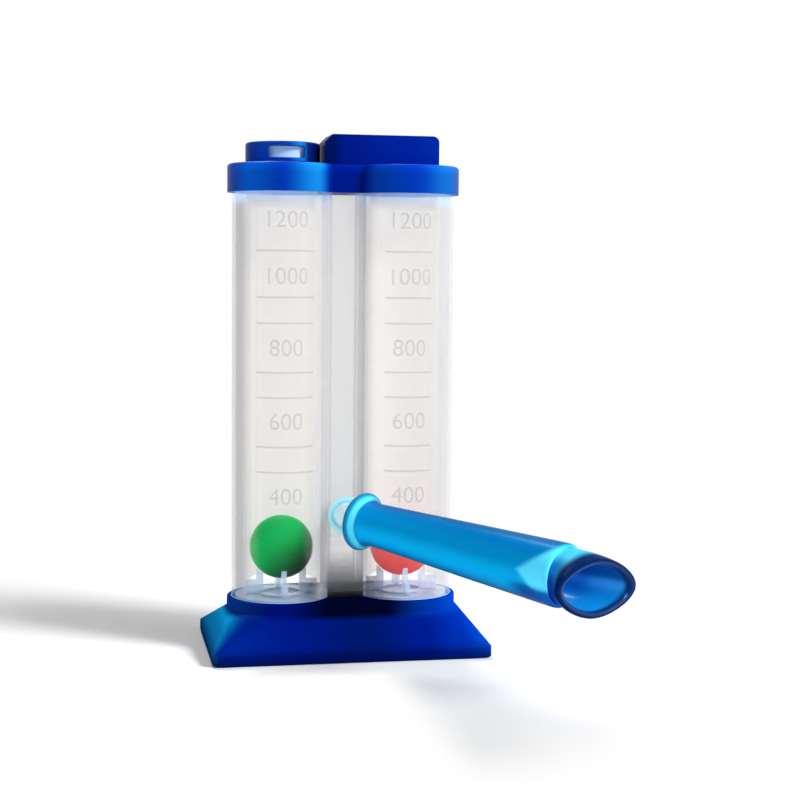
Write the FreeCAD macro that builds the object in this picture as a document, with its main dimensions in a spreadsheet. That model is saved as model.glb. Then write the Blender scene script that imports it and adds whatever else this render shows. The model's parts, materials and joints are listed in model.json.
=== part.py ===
# Incentive spirometer with two ball columns, in millimetres.
# The origin is the middle of the base's underside, +Z is up and -Y is the front.
# Breathing in at the mouth draws air in through a slot low on each column, up past the ball in its
# flow tube, over the top inside the cap, and down the duct between the columns to the port.
import FreeCAD, Part
import math
import os
import Sketcher
from FreeCAD import Vector

# Driving dimensions, each with what it measures
SIZES = [
    ("ball_radius", 12.5, "float ball, one inch across"),
    ("ball_rise", 19.0, "ball centre at rest above the deck"),
    ("glue_gap", 0.1, "joint line of a bonded or pressed pair"),
    ("running_gap", 0.05, "radial clearance of what turns or slides"),
    ("seat_gap", 0.3, "gap between a moving piece and its seat"),
    ("column_radius", 19.7, "outside of a clear column"),
    ("column_wall", 1.5, "wall of a clear column"),
    ("column_spacing", 48.4, "between the two column axes"),
    ("column_length", 162.7, "length of a clear column"),
    ("slot_width", 12.4, "air inlet low on each column"),
    ("slot_height", 2.1, "air inlet low on each column"),
    ("slot_rise", 5.05, "middle of the inlet above the deck"),
    ("duct_depth", 20.0, "front to back over the duct between the columns"),
    ("duct_wall", 1.6, "plate that closes the duct"),
    ("port_rise", 32.9, "port's axis above the deck"),
    ("port_face", 14.0, "port mouth in front of the middle plane"),
    ("port_wall", 2.0, "wall of the port socket"),
    ("base_width", 108.0, "foot, side to side"),
    ("base_depth", 70.0, "foot, front to back"),
    ("base_wall", 2.0, "moulded wall of the foot"),
    ("foot_corner", 3.0, "corner radius of the foot"),
    ("rim_height", 4.3, "upright rim round the foot"),
    ("foot_edge", 0.8, "rounded edges of the foot and the neck"),
    ("neck_height", 4.5, "upright neck between the sloped skirt and the deck"),
    ("deck_height", 20.5, "deck that the columns stand on"),
    ("deck_thickness", 3.2, "deck plate"),
    ("neck_margin", 1.8, "neck outside of a column"),
    ("socket_depth", 1.2, "how deep a column sits in the deck"),
    ("rib_thickness", 1.8, "cross ribs under the foot"),
    ("seat_plate", 1.5, "disc under a ball seat"),
    ("seat_rib", 2.0, "legs of a ball seat"),
    ("seat_inner", 7.2, "inside of the legs that carry the ball"),
    ("seat_outer", 9.8, "outside of the legs that carry the ball"),
    ("tube_rise", 6.0, "lower edge of a flow tube above the deck"),
    ("tube_wall", 1.3, "wall of a flow tube at its foot"),
    ("bore_play_low", 0.4, "air gap round the ball at the foot"),
    ("bore_play_high", 0.9, "air gap round the ball at the top"),
    ("flange_thickness", 1.4, "flange that hangs the flow tube in its column"),
    ("stop_bar", 2.4, "bars that stop the ball"),
    ("stop_height", 1.5, "stop between the flow tube and the cap"),
    ("label_half_angle", 52.0, "scale strip, each side of the front"),
    ("label_thickness", 0.2, "scale strip"),
    ("label_rise", 6.5, "scale strip above the tube's foot"),
    ("label_drop", 4.5, "scale strip below the tube's head"),
    ("cap_skin", 1.7, "wall of the cap round the columns"),
    ("cap_overlap", 3.2, "how far the cap reaches down over the columns"),
    ("cap_height", 11.0, "cap, from its lower edge to its flat top"),
    ("cap_plate", 1.8, "top plate of the cap"),
    ("cap_edge", 1.4, "rounded upper edge of the lobes"),
    ("gasket_thickness", 1.0, "gasket between columns and cap"),
    ("bleed_radius", 2.2, "bleed hole under the dial"),
    ("bleed_reach", 8.0, "bleed hole from the dial's axis"),
    ("dial_radius", 14.5, "flow dial"),
    ("dial_height", 8.2, "flow dial above the cap"),
    ("dial_wall", 1.6, "skirt and top of the flow dial"),
    ("dial_edge", 1.2, "rounded top edge of the dial"),
    ("dial_boss_wall", 1.65, "boss in the dial that turns on the pin"),
    ("pin_radius", 2.5, "pin that the dial turns on"),
    ("pin_depth", 5.0, "pin below the cap's top"),
    ("valve_angle", 220.0, "fan under the dial that covers the bleed hole, degrees"),
    ("valve_thickness", 1.2, "fan under the dial"),
    ("window_width", 14.0, "window in the dial's skirt"),
    ("window_height", 4.6, "window in the dial's skirt"),
    ("window_rise", 4.2, "window's middle above the cap"),
    ("ring_wall", 1.2, "setting ring behind the window"),
    ("washer_width", 1.2, "gasket ring under the dial"),
    ("washer_thickness", 0.4, "gasket ring under the dial"),
    ("bridge_gap", 0.7, "between the dial and the bridge block"),
    ("bridge_reach", 11.8, "right end of the bridge block past the column's axis"),
    ("bridge_height", 11.5, "bridge block above the cap"),
    ("bridge_depth", 20.0, "bridge block, front to back"),
    ("bridge_wall", 1.8, "shell of the bridge block"),
    ("bridge_chamfer", 3.0, "cut upper left corner"),
    ("bridge_round", 2.5, "rounded upper right corner"),
    ("bridge_hole", 7.0, "air hole from the right column into the bridge"),
    ("elbow_radius", 6.0, "outside of the elbow's two spigots"),
    ("elbow_wall", 1.8, "wall of the elbow"),
    ("elbow_bend", 37.0, "turn of the elbow, degrees"),
    ("elbow_swivel", 8.2, "how far the mouth tube hangs below level, degrees"),
    ("bend_radius", 12.0, "bend of the elbow's middle line"),
    ("bend_reach", 6.0, "bend point in front of the port's face"),
    ("collar_rise", 1.6, "how far the elbow's collars stand out"),
    ("collar_width", 1.3, "collars on the elbow"),
    ("spigot_length", 17.0, "outlet spigot from the bend point"),
    ("ring_groove", 1.0, "depth of the seal's groove"),
    ("seal_radius", 0.45, "section of the port seal"),
    ("tube_start", 6.1, "mouth tube's flange from the bend point"),
    ("tube_end", 104.0, "mouth tube's far end from the bend point"),
    ("bell_radius", 11.2, "bell flange of the mouth tube"),
    ("bell_width", 3.0, "bell flange of the mouth tube"),
    ("grip_radius", 8.3, "mouth tube behind the flange"),
    ("flare_radius", 11.5, "mouth tube at its far end"),
    ("mouth_wall", 1.5, "wall of the mouth tube and bit"),
    ("socket_length", 8.0, "how far the bit goes into the tube"),
    ("bit_length", 14.0, "mouth bit, outside the tube"),
    ("lip_wall", 2.4, "rim of the bit at the lips"),
    ("mouth_half_width", 23.0, "lemon-shaped mouth"),
    ("mouth_half_height", 11.2, "lemon-shaped mouth"),
]

doc = FreeCAD.newDocument("Spirometer")
sheet = doc.addObject("Spreadsheet::Sheet", "Sizes")
for row, (name, size, meaning) in enumerate(SIZES, 1):
    sheet.set("A%d" % row, name)
    sheet.set("B%d" % row, str(size))
    sheet.set("C%d" % row, meaning)
    sheet.setAlias("B%d" % row, name)
doc.recompute()
parts = []


# Helpers: every size given to them is text for the sheet, such as "Sizes.column_wall * 2"
def value(text):
    return float(sheet.evalExpression(text))


def new_body(label, placement=None):
    body = doc.addObject("PartDesign::Body", label)
    body.Label = label
    if placement:
        body.setExpression("Placement", placement)
    parts.append(body)
    return body


def new_sketch(body, plane, height="0", offset=None):
    sketch = body.newObject("Sketcher::SketchObject", body.Label + "_sketch")
    support = [f for f in body.Origin.OriginFeatures if f.Role == plane + "_Plane"][0]
    sketch.AttachmentSupport = (support, [""])
    sketch.MapMode = "FlatFace"
    if offset:
        sketch.setExpression("AttachmentOffset", offset)
    else:
        sketch.setExpression("AttachmentOffset.Base.z", height)
    return sketch


def drive(sketch, kind, place, text):
    number = sketch.addConstraint(Sketcher.Constraint(kind, *place, value(text)))
    sketch.setExpression("Constraints[%d]" % number, text)


def pin_point(sketch, geometry, point, across, along):
    drive(sketch, "DistanceX", (-1, 1, geometry, point), across)
    drive(sketch, "DistanceY", (-1, 1, geometry, point), along)


def draw_polygon(sketch, corners):
    points = [Vector(value(across), value(along), 0) for across, along in corners]
    sides = [sketch.addGeometry(Part.LineSegment(a, b), False)
             for a, b in zip(points, points[1:] + points[:1])]
    for side, following in zip(sides, sides[1:] + sides[:1]):
        sketch.addConstraint(Sketcher.Constraint("Coincident", side, 2, following, 1))
    for side, (across, along) in zip(sides, corners):
        pin_point(sketch, side, 1, across, along)


def draw_box(sketch, left, right, low, high):
    draw_polygon(sketch, [(left, low), (right, low), (right, high), (left, high)])


def draw_circle(sketch, across, along, radius):
    centre = Vector(value(across), value(along), 0)
    circle = sketch.addGeometry(Part.Circle(centre, Vector(0, 0, 1), value(radius)), False)
    pin_point(sketch, circle, 3, across, along)
    drive(sketch, "Radius", (circle,), radius)


def draw_rounded_box(sketch, width, height, radius, middle="0"):
    # Four quarter arcs, counterclockwise from the upper right, joined by four lines
    arcs = []
    for quarter, (right, up) in enumerate([(1, 1), (-1, 1), (-1, -1), (1, -1)]):
        across = "%d * ((%s) / 2 - (%s))" % (right, width, radius)
        along = "(%s) + %d * ((%s) / 2 - (%s))" % (middle, up, height, radius)
        circle = Part.Circle(Vector(value(across), value(along), 0), Vector(0, 0, 1), value(radius))
        start = quarter * math.pi / 2
        arc = sketch.addGeometry(Part.ArcOfCircle(circle, start, start + math.pi / 2), False)
        pin_point(sketch, arc, 3, across, along)
        drive(sketch, "Radius", (arc,), radius)
        level = 1 if quarter % 2 == 0 else 2
        sketch.addConstraint(Sketcher.Constraint("Horizontal", arc, 3, arc, level))
        sketch.addConstraint(Sketcher.Constraint("Vertical", arc, 3, arc, 3 - level))
        arcs.append(arc)
    for arc, following in zip(arcs, arcs[1:] + arcs[:1]):
        ends = Part.LineSegment(sketch.getPoint(arc, 2), sketch.getPoint(following, 1))
        line = sketch.addGeometry(ends, False)
        sketch.addConstraint(Sketcher.Constraint("Coincident", line, 1, arc, 2))
        sketch.addConstraint(Sketcher.Constraint("Coincident", line, 2, following, 1))


def feature(body, kind, sketch=None):
    made = body.newObject("PartDesign::" + kind, body.Label + "_" + kind.lower())
    if sketch:
        made.Profile = sketch
    return made


def pad(body, sketch, length, both_ways=False):
    made = feature(body, "Pad", sketch)
    made.setExpression("Length", length)
    made.Midplane = both_ways
    return made


def pocket(body, sketch, length, forwards=False, both_ways=False):
    # A pocket runs against its sketch's normal, or along it when forwards is set
    doc.recompute()
    before = body.Shape.Volume
    made = feature(body, "Pocket", sketch)
    made.setExpression("Length", length)
    made.Reversed = forwards
    made.Midplane = both_ways
    doc.recompute()
    if before - body.Shape.Volume < 0.01:
        raise RuntimeError("a pocket of %s cuts nothing" % body.Label)
    return made


def revolve(body, sketch, angle="360", both_ways=False):
    made = feature(body, "Revolution", sketch)
    made.ReferenceAxis = (sketch, ["V_Axis"])
    made.setExpression("Angle", angle)
    made.Midplane = both_ways
    return made


def groove(body, sketch):
    doc.recompute()
    before = body.Shape.Volume
    made = feature(body, "Groove", sketch)
    made.ReferenceAxis = (sketch, ["V_Axis"])
    made.Angle = 360
    doc.recompute()
    if before - body.Shape.Volume < 0.01:
        raise RuntimeError("a groove of %s cuts nothing" % body.Label)
    return made


def fillet(body, radius, wanted):
    doc.recompute()
    base = body.Tip
    names = ["Edge%d" % number for number, edge in enumerate(base.Shape.Edges, 1) if wanted(edge)]
    made = body.newObject("PartDesign::Fillet", body.Label + "_fillet")
    made.Base = (base, names)
    made.setExpression("Radius", radius)
    return made


def level_at(height):
    return lambda edge: abs(edge.BoundBox.ZMin - height) < 0.01 and abs(edge.BoundBox.ZMax - height) < 0.01


LEFT_AXIS = "-Sizes.column_spacing / 2"
RIGHT_AXIS = "Sizes.column_spacing / 2"
SIDES = [("left", LEFT_AXIS), ("right", RIGHT_AXIS)]
SKIRT_TOP = "(Sizes.deck_height - Sizes.neck_height)"
NECK_RADIUS = "(Sizes.column_radius + Sizes.neck_margin)"
COLUMN_FOOT = "(Sizes.deck_height - Sizes.socket_depth)"
COLUMN_TOP = "(Sizes.deck_height - Sizes.socket_depth + Sizes.column_length)"
BALL_REST = "(Sizes.deck_height + Sizes.ball_rise)"
PORT_HEIGHT = "(Sizes.deck_height + Sizes.port_rise)"
TUBE_FOOT = "(Sizes.deck_height + Sizes.tube_rise)"
TUBE_HEAD = "(%s - Sizes.stop_height)" % COLUMN_TOP
COLUMN_BORE = "(Sizes.column_radius - Sizes.column_wall)"
INSERT_RADIUS = "(Sizes.column_radius - Sizes.column_wall - Sizes.glue_gap)"


def on_axis(axis):
    return "placement(vector(%s; 0; 0); rotationz(0))" % axis


# Base: an upright rim, a skirt that slopes from a rectangle to a rounded neck, and a deck
def make_base():
    body = new_body("base_pedestal")
    neck_width = "(Sizes.column_spacing + 2 * %s)" % NECK_RADIUS
    neck_depth = "(2 * %s)" % NECK_RADIUS
    neck_corner = "(%s - Sizes.glue_gap)" % NECK_RADIUS
    foot = new_sketch(body, "XY")
    draw_rounded_box(foot, "Sizes.base_width", "Sizes.base_depth", "Sizes.foot_corner")
    pad(body, foot, "Sizes.rim_height")
    low = new_sketch(body, "XY", "Sizes.rim_height")
    draw_rounded_box(low, "Sizes.base_width", "Sizes.base_depth", "Sizes.foot_corner")
    high = new_sketch(body, "XY", SKIRT_TOP)
    draw_rounded_box(high, neck_width, neck_depth, neck_corner)
    skirt = feature(body, "AdditiveLoft", low)
    skirt.Sections = [high]
    skirt.Ruled = True
    neck = new_sketch(body, "XY", SKIRT_TOP)
    draw_rounded_box(neck, neck_width, neck_depth, neck_corner)
    pad(body, neck, "Sizes.neck_height")
    for height in ("0", "Sizes.deck_height"):
        fillet(body, "Sizes.foot_edge", level_at(value(height)))
    doc.recompute()
    # The hollow follows the outside one wall further in
    inner_corner = "(Sizes.foot_corner - Sizes.base_wall / 2)"
    inner_width = "(Sizes.base_width - 2 * Sizes.base_wall)"
    inner_depth = "(Sizes.base_depth - 2 * Sizes.base_wall)"
    throat_width = "(%s - 2 * Sizes.base_wall)" % neck_width
    throat_depth = "(%s - 2 * Sizes.base_wall)" % neck_depth
    throat_corner = "(%s - Sizes.base_wall)" % neck_corner
    hollow_low = new_sketch(body, "XY")
    draw_rounded_box(hollow_low, inner_width, inner_depth, inner_corner)
    pocket(body, hollow_low, "Sizes.rim_height", forwards=True)
    inner_low = new_sketch(body, "XY", "Sizes.rim_height")
    draw_rounded_box(inner_low, inner_width, inner_depth, inner_corner)
    inner_high = new_sketch(body, "XY", SKIRT_TOP)
    draw_rounded_box(inner_high, throat_width, throat_depth, throat_corner)
    hollow = feature(body, "SubtractiveLoft", inner_low)
    hollow.Sections = [inner_high]
    hollow.Ruled = True
    throat = new_sketch(body, "XY", SKIRT_TOP)
    draw_rounded_box(throat, throat_width, throat_depth, throat_corner)
    pocket(body, throat, "Sizes.neck_height - Sizes.deck_thickness", forwards=True)
    # Cross ribs carry the deck down to the table
    for across, along in ((throat_width, "Sizes.rib_thickness"), ("Sizes.rib_thickness", throat_depth)):
        rib = new_sketch(body, "XY")
        draw_box(rib, "-(%s) / 2" % across, "(%s) / 2" % across, "-(%s) / 2" % along, "(%s) / 2" % along)
        pad(body, rib, "Sizes.deck_height - Sizes.deck_thickness")
    # A shallow round socket for each column
    for side, axis in SIDES:
        socket = new_sketch(body, "XY", "Sizes.deck_height")
        draw_circle(socket, axis, "0", "Sizes.column_radius + Sizes.glue_gap")
        pocket(body, socket, "Sizes.socket_depth")


# Column: a clear tube with a slot for the incoming air at its front
def make_column(side, axis):
    body = new_body(side + "_column", on_axis(axis))
    ring = new_sketch(body, "XY", COLUMN_FOOT)
    draw_circle(ring, "0", "0", "Sizes.column_radius")
    draw_circle(ring, "0", "0", COLUMN_BORE)
    pad(body, ring, "Sizes.column_length")
    slot = new_sketch(body, "XZ")
    draw_rounded_box(slot, "Sizes.slot_width", "Sizes.slot_height",
                     "Sizes.slot_height / 2 - Sizes.glue_gap", "Sizes.deck_height + Sizes.slot_rise")
    pocket(body, slot, "Sizes.column_radius + Sizes.column_wall", forwards=True)


# Duct: a plate in front and one behind, trimmed round the columns that they are bonded to
def make_duct_wall(label, front):
    body = new_body(label)
    near = "(Sizes.duct_depth / 2)"
    far = "(Sizes.duct_depth / 2 - Sizes.duct_wall)"
    plate = new_sketch(body, "XY", "Sizes.deck_height")
    half = "Sizes.column_spacing / 4"
    if front:
        draw_box(plate, "-" + half, half, "-" + near, "-" + far)
    else:
        draw_box(plate, "-" + half, half, far, near)
    pad(body, plate, COLUMN_TOP + " - Sizes.deck_height")
    bore = "(Sizes.elbow_radius + Sizes.running_gap)"
    if front:
        socket = new_sketch(body, "XZ", far)
        draw_circle(socket, "0", PORT_HEIGHT, bore + " + Sizes.port_wall")
        pad(body, socket, "Sizes.port_face - " + far)
    for side, axis in SIDES:
        trim = new_sketch(body, "XY", "Sizes.deck_height")
        draw_circle(trim, axis, "0", "Sizes.column_radius + Sizes.glue_gap")
        pocket(body, trim, COLUMN_TOP + " - Sizes.deck_height", forwards=True)
    if front:
        hole = new_sketch(body, "XZ", "Sizes.port_face")
        draw_circle(hole, "0", PORT_HEIGHT, bore)
        pocket(body, hole, "Sizes.port_face")


TUBE_RADIUS = "(Sizes.ball_radius + Sizes.bore_play_low + Sizes.tube_wall)"


# Flow tube: straight outside, and its bore widens upwards, so a stronger breath lifts the ball higher
def make_flow_tube(side, axis):
    body = new_body(side + "_flow_tube", on_axis(axis))
    low = "(Sizes.ball_radius + Sizes.bore_play_low)"
    high = "(Sizes.ball_radius + Sizes.bore_play_high)"
    under = "(%s - Sizes.flange_thickness)" % TUBE_HEAD
    profile = new_sketch(body, "XZ")
    draw_polygon(profile, [
        (low, TUBE_FOOT),
        (TUBE_RADIUS, TUBE_FOOT),
        (TUBE_RADIUS, under),
        (INSERT_RADIUS, under),
        (INSERT_RADIUS, TUBE_HEAD),
        (high, TUBE_HEAD),
    ])
    revolve(body, profile)


# Ball seat: a disc with four stepped legs, which carry the flow tube and cup the ball
def make_ball_seat(side, axis):
    body = new_body(side + "_ball_seat", on_axis(axis))
    disc = new_sketch(body, "XY", COLUMN_FOOT)
    draw_circle(disc, "0", "0", INSERT_RADIUS)
    pad(body, disc, "Sizes.seat_plate")
    plate_top = "(%s + Sizes.seat_plate)" % COLUMN_FOOT
    leg = new_sketch(body, "XZ")
    draw_polygon(leg, [
        ("Sizes.seat_inner", COLUMN_FOOT),
        (TUBE_RADIUS, COLUMN_FOOT),
        (TUBE_RADIUS, TUBE_FOOT),
        ("Sizes.seat_outer", TUBE_FOOT),
        ("Sizes.seat_outer", BALL_REST),
        ("Sizes.seat_inner", BALL_REST),
    ])
    web = pad(body, leg, "Sizes.seat_rib", both_ways=True)
    doc.recompute()
    legs = body.newObject("PartDesign::PolarPattern", side + "_legs")
    legs.Originals = [web]
    legs.Axis = ([f for f in body.Origin.OriginFeatures if f.Role == "Z_Axis"][0], [""])
    legs.Angle = 360
    legs.Occurrences = 4
    body.Tip = legs
    doc.recompute()
    cup = body.newObject("PartDesign::SubtractiveSphere", side + "_cup")
    cup.setExpression("Radius", "Sizes.ball_radius + Sizes.seat_gap")
    cup.setExpression("Placement.Base.z", BALL_REST)
    hub = new_sketch(body, "XY", plate_top)
    draw_circle(hub, "0", "0", "Sizes.seat_outer")
    draw_circle(hub, "0", "0", "Sizes.seat_inner")
    pad(body, hub, "Sizes.seat_rib / 2")


# Ball stop: a rim on the flow tube's flange, with crossed bars over the bore
def make_ball_stop(side, axis):
    body = new_body(side + "_ball_stop", on_axis(axis))
    rim = new_sketch(body, "XY", TUBE_HEAD)
    draw_circle(rim, "0", "0", INSERT_RADIUS)
    draw_circle(rim, "0", "0", "Sizes.ball_radius + Sizes.bore_play_high")
    pad(body, rim, "Sizes.stop_height")
    reach = "(%s - Sizes.tube_wall)" % INSERT_RADIUS
    half = "(Sizes.stop_bar / 2)"
    for across, along in ((reach, half), (half, reach)):
        bar = new_sketch(body, "XY", TUBE_HEAD + " + Sizes.seat_gap")
        draw_box(bar, "-" + across, across, "-" + along, along)
        pad(body, bar, "Sizes.stop_height - Sizes.seat_gap")


# Scale strip: a thin film on the front of a flow tube
def make_scale_label(side, axis):
    body = new_body(side + "_scale_label", on_axis(axis))
    strip = new_sketch(body, "YZ")
    inner = "(%s + Sizes.running_gap)" % TUBE_RADIUS
    outer = "(%s + Sizes.label_thickness)" % inner
    low = TUBE_FOOT + " + Sizes.label_rise"
    high = TUBE_HEAD + " - Sizes.label_drop"
    draw_box(strip, "-" + outer, "-" + inner, low, high)
    revolve(body, strip, "2 * Sizes.label_half_angle", both_ways=True)


def make_ball(label, axis):
    ball = doc.addObject("Part::Sphere", label)
    ball.Label = label
    ball.setExpression("Radius", "Sizes.ball_radius")
    ball.setExpression("Placement.Base.x", axis)
    ball.setExpression("Placement.Base.z", BALL_REST)
    parts.append(ball)


# The outline that cap and gasket share: a circle on each column and a web over the duct
def add_outline(body, height, length, radius, half_depth, cut=False):
    half_web = "Sizes.column_spacing / 2"
    shapes = [(draw_circle, (axis, "0", radius)) for side, axis in SIDES]
    shapes.append((draw_box, ("-" + half_web, half_web, "-" + half_depth, half_depth)))
    for draw, sizes in shapes:
        sketch = new_sketch(body, "XY", height)
        draw(sketch, *sizes)
        if cut:
            pocket(body, sketch, length, forwards=True)
        else:
            pad(body, sketch, length)


GASKET_TOP = "(%s + Sizes.gasket_thickness)" % COLUMN_TOP
CAP_FOOT = "(%s - Sizes.cap_overlap)" % COLUMN_TOP
CAP_TOP = "(%s + Sizes.cap_height)" % CAP_FOOT
CAP_UNDERSIDE = "(%s - Sizes.cap_plate)" % CAP_TOP
CAP_SOCKET = "(Sizes.column_radius + Sizes.glue_gap)"
HALF_DUCT = "(Sizes.duct_depth / 2)"


# Cap: a lobe over each column, an air space under its plate, and a boss for the dial's pin
def make_cap():
    body = new_body("top_cap")
    add_outline(body, CAP_FOOT, "Sizes.cap_height", CAP_SOCKET + " + Sizes.cap_skin",
                "(%s + Sizes.cap_skin)" % HALF_DUCT)
    fillet(body, "Sizes.cap_edge", level_at(value(CAP_TOP)))
    doc.recompute()
    add_outline(body, CAP_FOOT, "Sizes.cap_overlap + Sizes.gasket_thickness", CAP_SOCKET,
                "(%s + Sizes.glue_gap)" % HALF_DUCT, cut=True)
    space = "Sizes.cap_height - Sizes.cap_overlap - Sizes.gasket_thickness - Sizes.cap_plate"
    add_outline(body, GASKET_TOP, space, COLUMN_BORE,
                "(%s - Sizes.duct_wall)" % HALF_DUCT, cut=True)
    boss = new_sketch(body, "XY", CAP_UNDERSIDE)
    draw_circle(boss, LEFT_AXIS, "0", "2 * Sizes.pin_radius")
    drop = feature(body, "Pad", boss)
    drop.setExpression("Length", "Sizes.pin_depth - Sizes.cap_plate")
    drop.Reversed = True
    holes = [
        (LEFT_AXIS, "Sizes.pin_radius + Sizes.running_gap", "Sizes.pin_depth + Sizes.cap_plate"),
        (LEFT_AXIS + " + Sizes.bleed_reach", "Sizes.bleed_radius", "Sizes.cap_plate"),
        (RIGHT_AXIS, "Sizes.bridge_hole", "Sizes.cap_plate"),
        ("0", "Sizes.duct_depth / 4", "Sizes.cap_plate"),
    ]
    for across, radius, depth in holes:
        hole = new_sketch(body, "XY", CAP_TOP)
        draw_circle(hole, across, "0", radius)
        pocket(body, hole, depth)


# Gasket: the columns' rims seen from above, with a hole for each column and the duct
def make_cap_gasket():
    body = new_body("cap_gasket")
    add_outline(body, COLUMN_TOP, "Sizes.gasket_thickness", "Sizes.column_radius", HALF_DUCT)
    for side, axis in SIDES:
        bore = new_sketch(body, "XY", COLUMN_TOP)
        draw_circle(bore, axis, "0", COLUMN_BORE)
        pocket(body, bore, "Sizes.gasket_thickness", forwards=True)
    gap = "(Sizes.column_spacing / 2 - Sizes.column_radius - Sizes.glue_gap)"
    duct = new_sketch(body, "XY", COLUMN_TOP)
    half_depth = "(%s - Sizes.duct_wall)" % HALF_DUCT
    draw_box(duct, "-" + gap, gap, "-" + half_depth, half_depth)
    pocket(body, duct, "Sizes.gasket_thickness", forwards=True)


# Bridge block: a shell on the cap that takes the right column's air across to the duct
def make_bridge():
    body = new_body("bridge_block")
    left = "(%s + Sizes.dial_radius + Sizes.bridge_gap)" % LEFT_AXIS
    right = "(%s + Sizes.bridge_reach)" % RIGHT_AXIS
    top = "(%s + Sizes.bridge_height)" % CAP_TOP
    outside = new_sketch(body, "XZ")
    draw_polygon(outside, [
        (left, CAP_TOP),
        (right, CAP_TOP),
        (right, top),
        (left + " + Sizes.bridge_chamfer", top),
        (left, top + " - Sizes.bridge_chamfer"),
    ])
    pad(body, outside, "Sizes.bridge_depth", both_ways=True)
    corner = value(right)
    ceiling = value(top)
    fillet(body, "Sizes.bridge_round", lambda edge: abs(edge.BoundBox.XMin - corner) < 0.01
           and abs(edge.BoundBox.ZMin - ceiling) < 0.01)
    doc.recompute()
    inside = new_sketch(body, "XY", CAP_TOP)
    half = "(Sizes.bridge_depth / 2 - Sizes.bridge_wall)"
    draw_box(inside, left + " + Sizes.bridge_wall", right + " - Sizes.bridge_wall", "-" + half, half)
    pocket(body, inside, "Sizes.bridge_height - Sizes.bridge_chamfer", forwards=True)


SKIRT_FOOT = "(%s + Sizes.washer_thickness + Sizes.seat_gap)" % CAP_TOP
DIAL_BORE = "(Sizes.dial_radius - Sizes.dial_wall)"
DIAL_TOP = "(%s + Sizes.dial_height)" % CAP_TOP
DIAL_CEILING = "(%s - Sizes.dial_wall)" % DIAL_TOP
RING_RADIUS = "(Sizes.dial_radius - Sizes.dial_wall - Sizes.seat_gap)"


# Flow dial: a cup with a boss, turned over its pin, and a window in its skirt
def make_dial():
    body = new_body("flow_dial", on_axis(LEFT_AXIS))
    hole = "(Sizes.pin_radius + Sizes.running_gap)"
    boss = "(%s + Sizes.dial_boss_wall)" % hole
    profile = new_sketch(body, "XZ")
    draw_polygon(profile, [
        ("0", DIAL_CEILING),
        (hole, DIAL_CEILING),
        (hole, SKIRT_FOOT),
        (boss, SKIRT_FOOT),
        (boss, DIAL_CEILING),
        (DIAL_BORE, DIAL_CEILING),
        (DIAL_BORE, SKIRT_FOOT),
        ("Sizes.dial_radius", SKIRT_FOOT),
        ("Sizes.dial_radius", DIAL_TOP),
        ("0", DIAL_TOP),
    ])
    revolve(body, profile)
    fillet(body, "Sizes.dial_edge", level_at(value(DIAL_TOP)))
    window = new_sketch(body, "XZ", boss)
    draw_rounded_box(window, "Sizes.window_width", "Sizes.window_height", "Sizes.dial_edge / 2",
                     CAP_TOP + " + Sizes.window_rise")
    pocket(body, window, "Sizes.dial_radius", forwards=True)
    # The fan turns over the bleed hole, and leaves it open where the fan ends
    fan = new_sketch(body, "YZ")
    reach = "(%s - Sizes.ring_wall - Sizes.seat_gap)" % RING_RADIUS
    draw_box(fan, "-" + reach, "-%s + Sizes.dial_boss_wall / 2" % boss, SKIRT_FOOT,
             SKIRT_FOOT + " + Sizes.valve_thickness")
    revolve(body, fan, "Sizes.valve_angle", both_ways=True)


# What stands still under the dial: its pin, the ring behind the window and a flat gasket
def make_dial_fittings():
    pin = new_body("dial_pin", on_axis(LEFT_AXIS))
    shaft = new_sketch(pin, "XY", CAP_TOP + " - Sizes.pin_depth")
    draw_circle(shaft, "0", "0", "Sizes.pin_radius")
    inner_height = "(Sizes.dial_height - Sizes.dial_wall - Sizes.seat_gap)"
    pad(pin, shaft, inner_height + " + Sizes.pin_depth")
    ring = new_body("setting_ring", on_axis(LEFT_AXIS))
    band = new_sketch(ring, "XY", CAP_TOP)
    draw_circle(band, "0", "0", RING_RADIUS)
    draw_circle(band, "0", "0", RING_RADIUS + " - Sizes.ring_wall")
    pad(ring, band, inner_height)
    washer = new_body("dial_gasket", on_axis(LEFT_AXIS))
    flat = new_sketch(washer, "XY", CAP_TOP)
    draw_circle(flat, "0", "0", DIAL_BORE + " + Sizes.washer_width")
    draw_circle(flat, "0", "0", DIAL_BORE)
    pad(washer, flat, "Sizes.washer_thickness")


# The elbow's own frame has its origin at the bend point and +Z straight out of the port
BEND_POINT = "vector(0; -Sizes.port_face - Sizes.bend_reach; %s)" % PORT_HEIGHT
ELBOW_TURN = "rotationy(Sizes.elbow_swivel) * rotationx(90)"
ELBOW_FRAME = "placement(%s; %s)" % (BEND_POINT, ELBOW_TURN)
MOUTH_FRAME = "placement(%s; %s * rotationy(Sizes.elbow_bend))" % (BEND_POINT, ELBOW_TURN)
SPIGOT_END = "-(Sizes.port_face + Sizes.bend_reach - Sizes.duct_depth / 2 + Sizes.duct_wall - Sizes.seat_gap)"
SEAL_HEIGHT = "(-Sizes.bend_reach - Sizes.port_wall)"


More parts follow.
